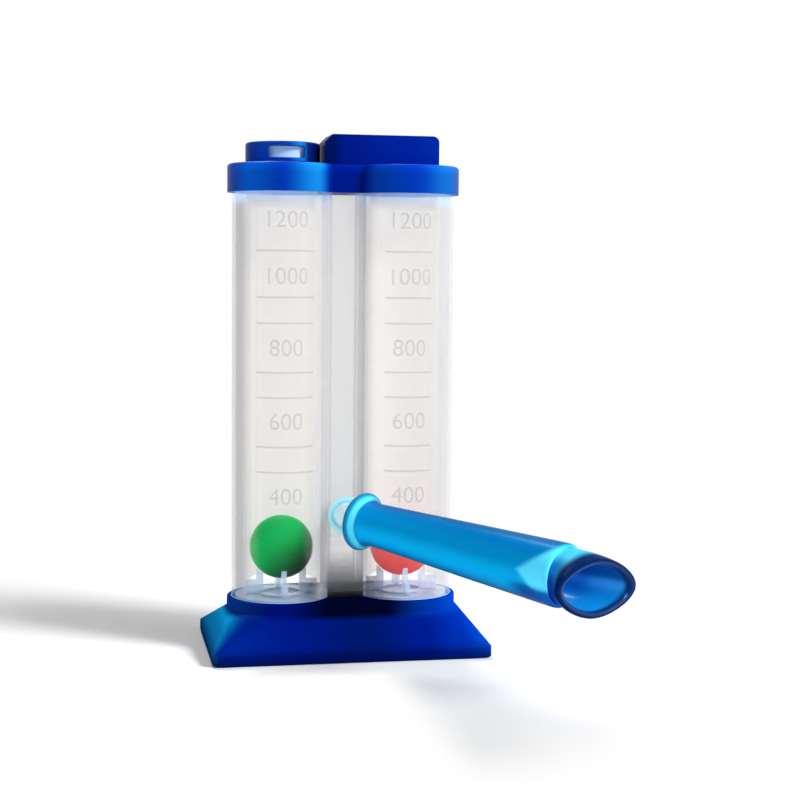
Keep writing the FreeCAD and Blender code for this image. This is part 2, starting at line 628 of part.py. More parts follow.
# Elbow: one pipe swept round the bend, bored through, with a collar beside each socket
def make_elbow():
    body = new_body("port_elbow", ELBOW_FRAME)
    tangent = "(Sizes.bend_radius * tan(Sizes.elbow_bend / 2))"
    turn = math.radians(value("Sizes.elbow_bend"))
    bend = value("Sizes.bend_radius")
    start = value(tangent)
    spine = new_sketch(body, "XZ")
    first = spine.addGeometry(Part.LineSegment(Vector(0, value(SPIGOT_END), 0), Vector(0, -start, 0)), False)
    circle = Part.Circle(Vector(bend, -start, 0), Vector(0, 0, 1), bend)
    arc = spine.addGeometry(Part.ArcOfCircle(circle, math.pi - turn, math.pi), False)
    reach = value("Sizes.spigot_length")
    finish = Vector(reach * math.sin(turn), reach * math.cos(turn), 0)
    last = spine.addGeometry(Part.LineSegment(spine.getPoint(arc, 1), finish), False)
    pin_point(spine, first, 1, "0", SPIGOT_END)
    pin_point(spine, first, 2, "0", "-" + tangent)
    pin_point(spine, arc, 3, "Sizes.bend_radius", "-" + tangent)
    spine.addConstraint(Sketcher.Constraint("Coincident", arc, 2, first, 2))
    drive(spine, "DistanceX", (-1, 1, arc, 1), tangent + " * sin(Sizes.elbow_bend)")
    spine.addConstraint(Sketcher.Constraint("Coincident", last, 1, arc, 1))
    pin_point(spine, last, 2, "Sizes.spigot_length * sin(Sizes.elbow_bend)",
              "Sizes.spigot_length * cos(Sizes.elbow_bend)")
    section = new_sketch(body, "XY", SPIGOT_END)
    draw_circle(section, "0", "0", "Sizes.elbow_radius")
    pipe = feature(body, "AdditivePipe", section)
    pipe.Spine = (spine, ["Edge1", "Edge2", "Edge3"])
    collar = "(Sizes.elbow_radius + Sizes.collar_rise)"
    inlet_collar = new_sketch(body, "XY", "Sizes.seat_gap - Sizes.bend_reach")
    draw_circle(inlet_collar, "0", "0", collar)
    pad(body, inlet_collar, "Sizes.collar_width")
    foot = "(Sizes.tube_start - Sizes.seat_gap - Sizes.collar_width)"
    outlet_collar = new_sketch(body, "XY", offset="placement(vector(%s * sin(Sizes.elbow_bend); 0; "
                               "%s * cos(Sizes.elbow_bend)); rotationy(Sizes.elbow_bend))" % (foot, foot))
    draw_circle(outlet_collar, "0", "0", collar)
    pad(body, outlet_collar, "Sizes.collar_width")
    doc.recompute()
    bore = new_sketch(body, "XY", SPIGOT_END)
    draw_circle(bore, "0", "0", "Sizes.elbow_radius - Sizes.elbow_wall")
    airway = feature(body, "SubtractivePipe", bore)
    airway.Spine = (spine, ["Edge1", "Edge2", "Edge3"])
    notch = new_sketch(body, "XZ")
    draw_box(notch, "Sizes.elbow_radius - Sizes.ring_groove", "Sizes.elbow_radius + Sizes.ring_groove",
             SEAL_HEIGHT + " - Sizes.seal_radius - Sizes.running_gap",
             SEAL_HEIGHT + " + Sizes.seal_radius + Sizes.running_gap")
    groove(body, notch)


def make_seal():
    seal = doc.addObject("Part::Torus", "elbow_o_ring")
    seal.Label = "elbow_o_ring"
    groove_floor = "(Sizes.elbow_radius - Sizes.ring_groove)"
    seal.setExpression("Radius1", groove_floor + " + Sizes.seal_radius + Sizes.running_gap")
    seal.setExpression("Radius2", "Sizes.seal_radius")
    place = "placement(vector(0; 0; %s); rotationz(0))" % SEAL_HEIGHT
    seal.setExpression("Placement", ELBOW_FRAME + " * " + place)
    parts.append(seal)


# Mouth tube: a turned form with a bell flange at the elbow, widening towards the mouth
def make_mouth_tube():
    body = new_body("mouthpiece_tube", MOUTH_FRAME)
    start = "Sizes.tube_start"
    neck = "(Sizes.tube_start + Sizes.bell_width)"
    fit = "(Sizes.elbow_radius + Sizes.running_gap)"
    socket_end = "(Sizes.spigot_length + Sizes.seat_gap)"
    step = "(Sizes.tube_end - Sizes.socket_length)"
    profile = new_sketch(body, "XZ")
    draw_polygon(profile, [
        (fit, start),
        ("Sizes.bell_radius", start),
        ("Sizes.bell_radius", neck),
        ("Sizes.grip_radius", neck + " + Sizes.bell_width"),
        ("Sizes.flare_radius", "Sizes.tube_end - Sizes.socket_length / 2"),
        ("Sizes.flare_radius", "Sizes.tube_end"),
        ("Sizes.flare_radius - Sizes.mouth_wall", "Sizes.tube_end"),
        ("Sizes.flare_radius - Sizes.mouth_wall", step),
        ("Sizes.flare_radius - 2 * Sizes.mouth_wall", step),
        ("Sizes.grip_radius - Sizes.mouth_wall", socket_end),
        (fit, socket_end),
    ])
    revolve(body, profile)
    fillet(body, "Sizes.bell_width / 3", lambda edge: len(edge.Vertexes) == 1
           and abs(edge.BoundBox.DiagonalLength / math.sqrt(8) - value("Sizes.bell_radius")) < 0.01
           and edge.CenterOfMass.z < value(neck) + 0.01)


# Mouth bit: round where it enters the tube and lemon-shaped at the lips, so no plain sketch fits it
OUTLINE_POINTS = 32
# For each section: its share of the way to the lips, how far it has spread by then, and how pointed it is
BIT_SECTIONS = [(0.0, 0.0, 0.0), (0.3, 0.2, 0.1), (0.65, 0.62, 0.4), (1.0, 1.0, 0.7)]


def lemon(half_width, half_height, pointed, height):
    # With pointed at 0 the outline is an ellipse, and a larger value draws its two ends to a tip
    places = []
    for step in range(OUTLINE_POINTS):
        angle = 2 * math.pi * step / OUTLINE_POINTS
        rise = math.sin(angle) * abs(math.sin(angle)) ** pointed
        places.append(Vector(half_width * math.cos(angle), half_height * rise, height))
    curve = Part.BSplineCurve()
    curve.interpolate(places, PeriodicFlag=True)
    return Part.Wire([curve.toShape()])


def make_mouth_bit():
    start = value("Sizes.tube_end + Sizes.seat_gap")
    length = value("Sizes.bit_length")
    depth = value("Sizes.socket_length")
    wall = value("Sizes.mouth_wall")
    lip_wall = value("Sizes.lip_wall")
    spigot = value("Sizes.flare_radius - Sizes.mouth_wall - Sizes.running_gap")
    half_width = value("Sizes.mouth_half_width")
    half_height = value("Sizes.mouth_half_height")

    def outline(share, spread, pointed, hollow):
        # The rim thickens towards the lips, and twice as much where the two sides meet
        inset = (wall + (lip_wall - wall) * spread) if hollow else 0
        across = spigot + (half_width - spigot) * spread - inset * (1 + spread)
        up = spigot + (half_height - spigot) * spread - inset
        return lemon(across, up, pointed, start + length * share)

    def form(hollow):
        radius = spigot - wall if hollow else spigot
        ends = [lemon(radius, radius, 0, height) for height in (start - depth, start)]
        stem = Part.makeLoft(ends, True, True)
        return stem.fuse(Part.makeLoft([outline(*section, hollow) for section in BIT_SECTIONS], True))

    bit = doc.addObject("Part::Feature", "mouth_bit")
    bit.Label = "mouth_bit"
    bit.Shape = form(hollow=False).cut(form(hollow=True))
    bit.setExpression("Placement", MOUTH_FRAME)
    parts.append(bit)


make_base()
for side, axis in SIDES:
    make_column(side, axis)
    make_flow_tube(side, axis)
    make_ball_seat(side, axis)
    make_ball_stop(side, axis)
    make_scale_label(side, axis)
make_duct_wall("duct_front_wall", True)
make_duct_wall("duct_back_wall", False)
make_ball("green_ball", LEFT_AXIS)
make_ball("red_ball", RIGHT_AXIS)
make_cap()
make_cap_gasket()
make_bridge()
make_dial()
make_dial_fittings()
make_elbow()
make_seal()
make_mouth_tube()
make_mouth_bit()

# Every object has to be up to date and every part one valid solid before anything is written
doc.recompute()
for thing in doc.Objects:
    if "Invalid" in thing.State or "Error" in thing.State:
        raise RuntimeError("%s failed: %s" % (thing.Label, thing.State))
for part in parts:
    if part.Shape.isNull() or not part.Shape.isValid() or len(part.Shape.Solids) != 1:
        raise RuntimeError("%s is not one valid solid" % part.Label)

os.makedirs("parts", exist_ok=True)
for part in parts:
    part.Shape.exportStep("parts/%s.step" % part.Label)
    box = part.Shape.BoundBox
    print("%-18s %9.1f mm3  x %6.1f %6.1f  y %6.1f %6.1f  z %6.1f %6.1f" % (
        part.Label, part.Shape.Volume, box.XMin, box.XMax, box.YMin, box.YMax, box.ZMin, box.ZMax))
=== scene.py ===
import math
import json
import bpy
import bmesh
from mathutils import Matrix, Vector


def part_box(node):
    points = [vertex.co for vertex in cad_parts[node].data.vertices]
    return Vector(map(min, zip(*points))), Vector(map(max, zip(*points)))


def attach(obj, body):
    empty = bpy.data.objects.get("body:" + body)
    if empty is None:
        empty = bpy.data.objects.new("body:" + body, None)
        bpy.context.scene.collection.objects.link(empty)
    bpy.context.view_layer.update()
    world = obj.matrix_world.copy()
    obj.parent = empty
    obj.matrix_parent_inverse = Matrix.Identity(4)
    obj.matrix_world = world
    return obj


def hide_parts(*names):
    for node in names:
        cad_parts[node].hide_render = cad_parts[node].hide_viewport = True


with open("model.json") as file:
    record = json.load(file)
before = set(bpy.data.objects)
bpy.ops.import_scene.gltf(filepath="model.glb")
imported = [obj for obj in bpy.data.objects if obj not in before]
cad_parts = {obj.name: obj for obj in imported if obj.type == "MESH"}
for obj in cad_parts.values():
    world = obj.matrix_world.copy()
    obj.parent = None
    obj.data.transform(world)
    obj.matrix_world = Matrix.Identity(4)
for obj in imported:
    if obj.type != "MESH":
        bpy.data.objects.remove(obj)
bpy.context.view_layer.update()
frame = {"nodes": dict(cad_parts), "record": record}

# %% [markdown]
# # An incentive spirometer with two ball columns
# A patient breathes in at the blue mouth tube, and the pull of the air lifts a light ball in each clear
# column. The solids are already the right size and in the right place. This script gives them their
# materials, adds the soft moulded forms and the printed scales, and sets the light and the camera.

MM = 0.001
nodes = frame["nodes"]
joints = {joint["name"]: joint for joint in frame["record"]["behaviour"]["joints"]}
bpy.context.scene.view_settings.view_transform = "Standard"
# A look straight through a column meets ten clear faces, more than Blender follows unless it is told to
CLEAR_FACES = 48
bpy.context.scene.cycles.transparent_max_bounces = CLEAR_FACES

# %% [markdown]
# ## Camera
# The photograph was taken from the front left, a little above the middle of the columns, with a long lens
# that keeps the columns nearly parallel. The camera stands 65 cm away and is turned by three angles.

# %% Camera
CAMERA_PLACE = Vector((-102.39, -643.91, 150.6)) * MM
CAMERA_YAW = math.radians(11.04)
CAMERA_PITCH = math.radians(-4.63)
CAMERA_ROLL = math.radians(0.54)
CAMERA_LENS = 74.14
CAMERA_SENSOR = 36.0

camera_data = bpy.data.cameras.new("photo_camera")
camera_data.lens = CAMERA_LENS
camera_data.sensor_width = CAMERA_SENSOR
camera = bpy.data.objects.new("photo_camera", camera_data)
bpy.context.scene.collection.objects.link(camera)
turn = Matrix.Rotation(-CAMERA_YAW, 4, "Z") @ Matrix.Rotation(math.pi / 2 + CAMERA_PITCH, 4, "X")
camera.matrix_world = Matrix.Translation(CAMERA_PLACE) @ turn @ Matrix.Rotation(CAMERA_ROLL, 4, "Z")
bpy.context.scene.camera = camera
print("camera", [round(v, 3) for v in camera.matrix_world.translation])

# %% [markdown]
# ## Colours and nodes
# A colour is written as the hex value seen on a screen, and Blender calculates with linear light, so one
# function turns the first into the second. Another adds a node with its settings and inputs.


# %% Colour and node helpers
def linear(hex_text):
    channels = [int(hex_text[i:i + 2], 16) / 255 for i in (1, 3, 5)]
    return tuple(c / 12.92 if c <= 0.04045 else ((c + 0.055) / 1.055) ** 2.4 for c in channels) + (1.0,)


def add_node(tree, kind, inputs=None, **settings):
    # An input is a plain value, or the output of another node that feeds it
    node = tree.nodes.new(kind)
    for name, setting in settings.items():
        setattr(node, name, setting)
    for socket, source in (inputs or {}).items():
        if isinstance(source, bpy.types.NodeSocket):
            tree.links.new(source, node.inputs[socket])
        else:
            node.inputs[socket].default_value = source
    return node


def new_material(name):
    material = bpy.data.materials.new(name)
    material.use_nodes = True
    shader = material.node_tree.nodes["Principled BSDF"]
    return material, material.node_tree, shader


def set_material(piece, material):
    piece.data.materials.clear()
    piece.data.materials.append(material)


# %% [markdown]
# ## Opaque blue plastic
# Cap, bridge, dial and base are injection-moulded polystyrene, dyed right through a deep blue. The mould was
# polished, so the skin is glossy, with a faint unevenness of a few millimetres where the plastic shrank as
# it cooled. Such a strong dye gives back hardly any red, even in its gloss, so the gloss is tinted too.

# %% Blue moulded polystyrene
SHRINK_MM = 7.0
SHADE_MM = 7.5
POLISH_MM = 0.6
POLISH_SPREAD = 0.15
DENT_MM = 0.4
CLOUDY_SHARE = 0.1


def moulded_plastic(name, colour, shade, roughness, specular=0.5, tint="#FFFFFF"):
    material, tree, shader = new_material(name)
    place = add_node(tree, "ShaderNodeTexCoord").outputs["Object"]
    cloud = add_node(tree, "ShaderNodeTexNoise",
                     {"Vector": place, "Scale": 1 / (SHRINK_MM * MM), "Detail": 3.0})
    blend = add_node(tree, "ShaderNodeMix",
                     {"Factor": cloud.outputs["Fac"], "A": linear(colour), "B": linear(shade)},
                     data_type="RGBA")
    grain = add_node(tree, "ShaderNodeTexNoise",
                     {"Vector": place, "Scale": 1 / (POLISH_MM * MM), "Detail": 2.0})
    polish = add_node(tree, "ShaderNodeMapRange",
                      {"Value": grain.outputs["Fac"], "To Min": roughness * (1 - POLISH_SPREAD),
                       "To Max": roughness * (1 + POLISH_SPREAD)})
    bump = add_node(tree, "ShaderNodeBump",
                    {"Height": cloud.outputs["Fac"], "Strength": 0.02, "Distance": DENT_MM * MM})
    tree.links.new(blend.outputs["Result"], shader.inputs["Base Color"])
    tree.links.new(polish.outputs["Result"], shader.inputs["Roughness"])
    tree.links.new(bump.outputs["Normal"], shader.inputs["Normal"])
    shader.inputs["IOR"].default_value = 1.5
    shader.inputs["Specular IOR Level"].default_value = specular
    shader.inputs["Specular Tint"].default_value = linear(tint)
    return material, tree, shader, blend.outputs["Result"]


def place_on(tree, axis):
    place = add_node(tree, "ShaderNodeTexCoord").outputs["Object"]
    return add_node(tree, "ShaderNodeSeparateXYZ", {"Vector": place}).outputs[axis]


def axis_share(tree, axis, low_mm, high_mm):
    # Goes from 0 to 1 while the surface's place goes from the first distance to the second
    return add_node(tree, "ShaderNodeMapRange",
                    {"Value": place_on(tree, axis), "From Min": low_mm * MM, "From Max": high_mm * MM},
                    interpolation_type="SMOOTHSTEP").outputs["Result"]


def middle_shade(tree, pale, dark):
    # Near the middle of the deck, between the columns, hardly any light comes in
    place = add_node(tree, "ShaderNodeMath", {0: place_on(tree, "X")}, operation="ABSOLUTE")
    share = add_node(tree, "ShaderNodeMapRange",
                     {"Value": place.outputs["Value"], "From Min": SHADE_MM * MM,
                      "From Max": 3 * SHADE_MM * MM}, interpolation_type="SMOOTHSTEP")
    return add_node(tree, "ShaderNodeMix",
                    {"Factor": share.outputs["Result"], "A": linear(dark), "B": linear(pale)},
                    data_type="RGBA").outputs["Result"]


def colour_along(tree, source, stops, cloudy=None):
    # The stops are distances in millimetres with the colour that the plastic has there
    low, high = stops[0][0], stops[-1][0]
    share = add_node(tree, "ShaderNodeMapRange",
                     {"Value": source, "From Min": low * MM, "From Max": high * MM})
    ramp = add_node(tree, "ShaderNodeValToRGB", {"Fac": share.outputs["Result"]})
    ramp.color_ramp.interpolation = "EASE"
    while len(ramp.color_ramp.elements) < len(stops):
        ramp.color_ramp.elements.new(0.5)
    for element, (place, colour) in zip(ramp.color_ramp.elements, stops):
        element.position = (place - low) / (high - low)
        element.color = linear(colour)
    if cloudy is None:
        return ramp.outputs["Color"]
    # The plastic's own cloudy colour stays faintly in sight
    return add_node(tree, "ShaderNodeMix",
                    {"Factor": 1 - CLOUDY_SHARE, "A": cloudy, "B": ramp.outputs["Color"]},
                    data_type="RGBA").outputs["Result"]


# %% [markdown]
# ## Painted highlights and shade on the blue
# Highlights are painted lighter on the outer sides of the cap's two lobes and at the base's two ends, and
# painted shade makes the web between the lobes, the middle of the base and the gaps beside the dial
# nearly navy. Four blues carry most of it, and each piece says at which distances from the object's middle
# it has which. The colour is mixed over the place on the object, so that it stays put from every side.

# %% Blue of the cap, the bridge and the dial
# The four blues are a painted highlight, the plain body colour, painted shade and the deepest painted shade
HIGHLIGHT_BLUE = "#107CC8"
BODY_BLUE = "#0440B0"
SHADE_BLUE = "#001478"
DEEP_SHADE_BLUE = "#000C48"
# Along X: painted highlights on the lobes' outer sides, painted shade in the web between them
CAP_PAINTED_LIGHT = ((-46, "#06308C"), (-39, "#0660D4"), (-27, "#0234A4"), (-13, HIGHLIGHT_BLUE), (-7, SHADE_BLUE),
               (5, SHADE_BLUE), (11, BODY_BLUE), (25, "#0434A8"), (38, "#0860B0"), (46, "#083C7C"))
LIP_MM = 185.5
LIP_HIGH_MM = 3.5
LIP_HIGHLIGHT = 0.4
GLOSS_TINT = "#18A0FF"
cap_styrene, tree, shader, blue = moulded_plastic(
    "blue_moulded_polystyrene", "#0038CC", "#0030BE", roughness=0.36, specular=0.05, tint=GLOSS_TINT)
cap_light_and_shade = colour_along(tree, place_on(tree, "X"), CAP_PAINTED_LIGHT, blue)
# A painted highlight lightens the cap's rounded upper edge, where it catches the light
edge = add_node(tree, "ShaderNodeMath", {0: axis_share(tree, "Z", LIP_MM, LIP_MM + LIP_HIGH_MM), 1: LIP_HIGHLIGHT},
                operation="MULTIPLY")
bright = add_node(tree, "ShaderNodeMix", {"Factor": edge.outputs["Value"], "A": cap_light_and_shade, "B": cap_light_and_shade},
                  data_type="RGBA", blend_type="ADD")
tree.links.new(bright.outputs["Result"], shader.inputs["Base Color"])
set_material(nodes["top_cap"], cap_styrene)

DIAL_PAINTED_LIGHT = ((-39, "#082C84"), (-33, "#0A48B0"), (-24, "#0A38A4"), (-18.5, "#0A78D0"), (-15.5, DEEP_SHADE_BLUE),
                (-12, "#00041C"))
# How far a face of the dial looks up, from its rounded edge to its flat top
FLAT_TOP = (0.6, 0.9)
dial_styrene, tree, shader, blue = moulded_plastic(
    "bright_blue_moulded_polystyrene", "#0038CC", "#0030BE", roughness=0.36, specular=0.05, tint=GLOSS_TINT)
side_light_and_shade = colour_along(tree, place_on(tree, "X"), DIAL_PAINTED_LIGHT, blue)
# Only its side wall has a painted highlight beside the window and painted shade next to the block,
# the flat top is an even blue
facing = add_node(tree, "ShaderNodeTexCoord").outputs["Normal"]
upright = add_node(tree, "ShaderNodeSeparateXYZ", {"Vector": facing}).outputs["Z"]
flat_top = add_node(tree, "ShaderNodeMapRange",
                    {"Value": upright, "From Min": FLAT_TOP[0], "From Max": FLAT_TOP[1]})
dial_blue = add_node(tree, "ShaderNodeMix",
                     {"Factor": flat_top.outputs["Result"], "A": side_light_and_shade, "B": linear(BODY_BLUE)},
                     data_type="RGBA")
tree.links.new(dial_blue.outputs["Result"], shader.inputs["Base Color"])
set_material(nodes["flow_dial"], dial_styrene)

# Painted shade darkens the block's left end beside the dial, and it grows lighter towards its right end
BLOCK_PAINTED_SHADE = ((-6, DEEP_SHADE_BLUE), (-1, SHADE_BLUE), (20, "#002090"), (44, "#002CA4"))
block_styrene, tree, shader, blue = moulded_plastic(
    "deep_blue_moulded_polystyrene", "#002CB4", "#0026A6", roughness=0.4, specular=0.04, tint=GLOSS_TINT)
tree.links.new(colour_along(tree, place_on(tree, "X"), BLOCK_PAINTED_SHADE, blue), shader.inputs["Base Color"])
set_material(nodes["bridge_block"], block_styrene)
print("blue plastic on the cap, the bridge block and the dial")

# %% [markdown]
# ## Base
# The base is the same plastic with an eroded, silky skin: it has no clear reflection, so from the side it
# keeps its deep blue and doesn't turn white. Painted shade darkens its foot edge, the neck under the columns
# and the middle of its front, and a painted highlight lightens its left end.

# %% Blue of the base
# Along X: painted shade darkest in the middle of the front, lighter towards both ends
BASE_PAINTED_LIGHT = ((-54, "#002080"), (-20, SHADE_BLUE), (6, "#001050"), (28, SHADE_BLUE), (42, "#002898"),
                (54, BODY_BLUE))
LEFT_END_HIGHLIGHT = ((4, "#0C5C9C"), (9, "#0C84C4"), (15, "#10A4E8"))
# Painted shade on the neck, darkest between the columns
NECK_PAINTED_SHADE = ((-46, "#0A3C98"), (-30, SHADE_BLUE), (-6, "#000624"), (14, "#000624"), (32, "#003094"),
                (46, "#0040B4"))
NECK_LOW_MM = 13.5
NECK_HIGH_MM = 16.0
RIM_HIGH_MM = 7.0
RIM_LOW_MM = 1.0
FOOT_SHADE = 0.75
# How far a face of the base looks sideways, from the long sides to the left end
LEFT_END = (-0.25, -0.6)
base_styrene, tree, shader, blue = moulded_plastic(
    "navy_blue_eroded_polystyrene", "#0030B4", "#002AA8", roughness=0.5, specular=0.0)
skirt = colour_along(tree, place_on(tree, "X"), BASE_PAINTED_LIGHT, blue)
# The left end is a facet of its own, found by the way that it faces, and carries a painted highlight
facing = add_node(tree, "ShaderNodeTexCoord").outputs["Normal"]
sideways = add_node(tree, "ShaderNodeSeparateXYZ", {"Vector": facing}).outputs["X"]
left_end = add_node(tree, "ShaderNodeMapRange",
                    {"Value": sideways, "From Min": LEFT_END[0], "From Max": LEFT_END[1]},
                    interpolation_type="SMOOTHSTEP")
skirt = add_node(tree, "ShaderNodeMix",
                 {"Factor": left_end.outputs["Result"], "A": skirt,
                  "B": colour_along(tree, place_on(tree, "Z"), LEFT_END_HIGHLIGHT)}, data_type="RGBA")
neck = add_node(tree, "ShaderNodeMix",
                {"Factor": axis_share(tree, "Z", NECK_LOW_MM, NECK_HIGH_MM), "A": skirt.outputs["Result"],
                 "B": colour_along(tree, place_on(tree, "X"), NECK_PAINTED_SHADE)}, data_type="RGBA")
# Painted shade darkens the foot edge near the floor
rim = add_node(tree, "ShaderNodeMath", {0: axis_share(tree, "Z", RIM_HIGH_MM, RIM_LOW_MM), 1: FOOT_SHADE},
               operation="MULTIPLY")
foot = add_node(tree, "ShaderNodeMix",
                {"Factor": rim.outputs["Value"], "A": neck.outputs["Result"], "B": linear(DEEP_SHADE_BLUE)},
                data_type="RGBA")
tree.links.new(foot.outputs["Result"], shader.inputs["Base Color"])
set_material(nodes["base_pedestal"], base_styrene)
print("base plastic over", BASE_PAINTED_LIGHT[-1][0] - BASE_PAINTED_LIGHT[0][0], "mm")

# %% [markdown]
# ## Clear plastic
# Clear styrene has a little haze in it. Seen square on, its wall lets nearly all light through. Towards the
# edges of a column the eye looks along the wall and through far more plastic, and it turns grey. Layer
# Weight tells how far a face is turned from the eye, and the haze comes in over a part of that turn.


# %% Clear styrene
HAZE_MM = 9.0
SMOOTHEST = 0.8
ROUGHEST = 1.3


def clear_plastic(name, colour, face_alpha, edge_alpha, turn_low=0.2, turn_high=0.42, roughness=0.12):
    material, tree, shader = new_material(name)
    place = add_node(tree, "ShaderNodeTexCoord").outputs["Object"]
    weight = add_node(tree, "ShaderNodeLayerWeight", {"Blend": 0.5})
    cloud = add_node(tree, "ShaderNodeTexNoise",
                     {"Vector": place, "Scale": 1 / (HAZE_MM * MM), "Detail": 3.0})
    polish = add_node(tree, "ShaderNodeMapRange",
                      {"Value": cloud.outputs["Fac"], "To Min": roughness * SMOOTHEST,
                       "To Max": roughness * ROUGHEST})
    cover = add_node(tree, "ShaderNodeMapRange",
                     {"Value": weight.outputs["Facing"], "From Min": turn_low, "From Max": turn_high,
                      "To Min": face_alpha, "To Max": edge_alpha}, interpolation_type="SMOOTHSTEP")
    tree.links.new(cover.outputs["Result"], shader.inputs["Alpha"])
    tree.links.new(polish.outputs["Result"], shader.inputs["Roughness"])
    shader.inputs["Base Color"].default_value = linear(colour)
    shader.inputs["IOR"].default_value = 1.55
    return material, tree, shader, cover.outputs["Result"]


# %% [markdown]
# ## Columns
# Where a column goes into the cap and where it is bonded to the deck, both ends are painted pale blue with a
# painted glow, and painted shade darkens them near the middle of the deck. The colour and the haze change
# over the last few millimetres.

# %% Columns and duct
COLUMN_TOP_MM = 178.8
COLUMN_FOOT_MM = 19.3
GLOW_TOP_MM = 7.0
GLOW_FOOT_MM = 3.4
GLOW_ALPHA = 0.24
GLOW_LIGHT = 0.4
SHADE_SIDE_MM = 41.5
SHADE_WIDE_MM = 3.0
SHADOW_ALPHA = 0.34
DUCT_SHADE_MM = 24.0
DUCT_SHADE_ALPHA = 0.7
column_styrene, tree, shader, cover = clear_plastic("clear_moulded_styrene", "#C8C8CA", face_alpha=0.008,
                                                     edge_alpha=0.27)
# The outer side of the left column lies in the shade
grey = add_node(tree, "ShaderNodeMix",
                {"Factor": axis_share(tree, "X", -SHADE_SIDE_MM + SHADE_WIDE_MM, -SHADE_SIDE_MM),
                 "A": linear("#D0D0D2"), "B": linear("#A4A4A8")}, data_type="RGBA")
# Both ends get a painted pale blue tint and a painted glow, with painted shade near the middle of the deck
ends = add_node(tree, "ShaderNodeMath",
                {0: axis_share(tree, "Z", COLUMN_TOP_MM - GLOW_TOP_MM, COLUMN_TOP_MM),
                 1: axis_share(tree, "Z", COLUMN_FOOT_MM + GLOW_FOOT_MM, COLUMN_FOOT_MM)},
                operation="MAXIMUM")
tint = add_node(tree, "ShaderNodeMix",
                {"Factor": ends.outputs["Value"], "A": grey.outputs["Result"],
                 "B": middle_shade(tree, "#B4DAFF", "#6C7C9C")}, data_type="RGBA")
glow = add_node(tree, "ShaderNodeMath", {0: ends.outputs["Value"], 1: GLOW_ALPHA}, operation="MULTIPLY")
alpha = add_node(tree, "ShaderNodeMath", {0: cover, 1: glow.outputs["Value"]}, operation="MAXIMUM")
tree.links.new(tint.outputs["Result"], shader.inputs["Base Color"])
painted_end_glow = add_node(tree, "ShaderNodeMath", {0: ends.outputs["Value"], 1: GLOW_LIGHT}, operation="MULTIPLY")
tree.links.new(painted_end_glow.outputs["Value"], shader.inputs["Emission Strength"])
shader.inputs["Emission Color"].default_value = linear("#90C4FF")
# The haze scatters light out of a beam, so the shadow is denser than the wall looks
shadow = add_node(tree, "ShaderNodeLightPath").outputs["Is Shadow Ray"]
dense = add_node(tree, "ShaderNodeMath", {0: shadow, 1: SHADOW_ALPHA}, operation="MULTIPLY")
alpha = add_node(tree, "ShaderNodeMath", {0: alpha.outputs["Value"], 1: dense.outputs["Value"]},
                 operation="MAXIMUM")
tree.links.new(alpha.outputs["Value"], shader.inputs["Alpha"])
for name in ("left_column", "right_column"):
    set_material(nodes[name], column_styrene)

# Painted shade darkens the duct's lowest part, just above the deck
duct_styrene, tree, shader, cover = clear_plastic("clear_sheet_styrene", "#D0D0D2", face_alpha=0.16,
                                                   edge_alpha=0.32)
duct_shade = axis_share(tree, "Z", COLUMN_FOOT_MM + DUCT_SHADE_MM, COLUMN_FOOT_MM)
tint = add_node(tree, "ShaderNodeMix", {"Factor": duct_shade, "A": linear("#D0D0D2"), "B": linear("#10141C")},
                data_type="RGBA")
dark = add_node(tree, "ShaderNodeMath", {0: duct_shade, 1: DUCT_SHADE_ALPHA}, operation="MULTIPLY")
alpha = add_node(tree, "ShaderNodeMath", {0: cover, 1: dark.outputs["Value"]}, operation="MAXIMUM")
tree.links.new(tint.outputs["Result"], shader.inputs["Base Color"])
tree.links.new(alpha.outputs["Value"], shader.inputs["Alpha"])
for name in ("duct_front_wall", "duct_back_wall"):
    set_material(nodes[name], duct_styrene)
print("pale blue over the top", GLOW_TOP_MM, "mm and the lowest", GLOW_FOOT_MM, "mm")

# %% [markdown]
# ## Flow tubes, films, seats and stops
# The tube that the ball runs in is clear at its front, where the nurse looks in, and slightly frosted at its
# back, which makes the ball stand out. The haze there depends on the place behind the tube's middle.

# %% Flow tubes and what is in them
FROST_MM = 3.0
FROST_ALPHA = 0.17
FILM_CLEAR_MM = 50.0
FILM_FADE_MM = 8.0
SEAT_PAINTED_GLOW = 0.22
ELBOW_PAINTED_GLOW = 0.15
frosted, tree, shader, cover = clear_plastic(
    "half_frosted_styrene", "#F8ECE0", face_alpha=0.004, edge_alpha=0.08, roughness=0.35)
frost = add_node(tree, "ShaderNodeMath", {0: axis_share(tree, "Y", 0.0, FROST_MM), 1: FROST_ALPHA},
                 operation="MULTIPLY")
alpha = add_node(tree, "ShaderNodeMath", {0: cover, 1: frost.outputs["Value"]}, operation="MAXIMUM")
tree.links.new(alpha.outputs["Value"], shader.inputs["Alpha"])
# The film has no coating at its lower end, so that the resting ball is seen clearly
film, tree, shader, cover = clear_plastic(
    "clear_printed_film", "#F8F0E8", face_alpha=0.02, edge_alpha=0.07, roughness=0.3)
coated = add_node(tree, "ShaderNodeMath",
                  {0: cover, 1: axis_share(tree, "Z", FILM_CLEAR_MM, FILM_CLEAR_MM + FILM_FADE_MM)},
                  operation="MULTIPLY")
tree.links.new(coated.outputs["Value"], shader.inputs["Alpha"])
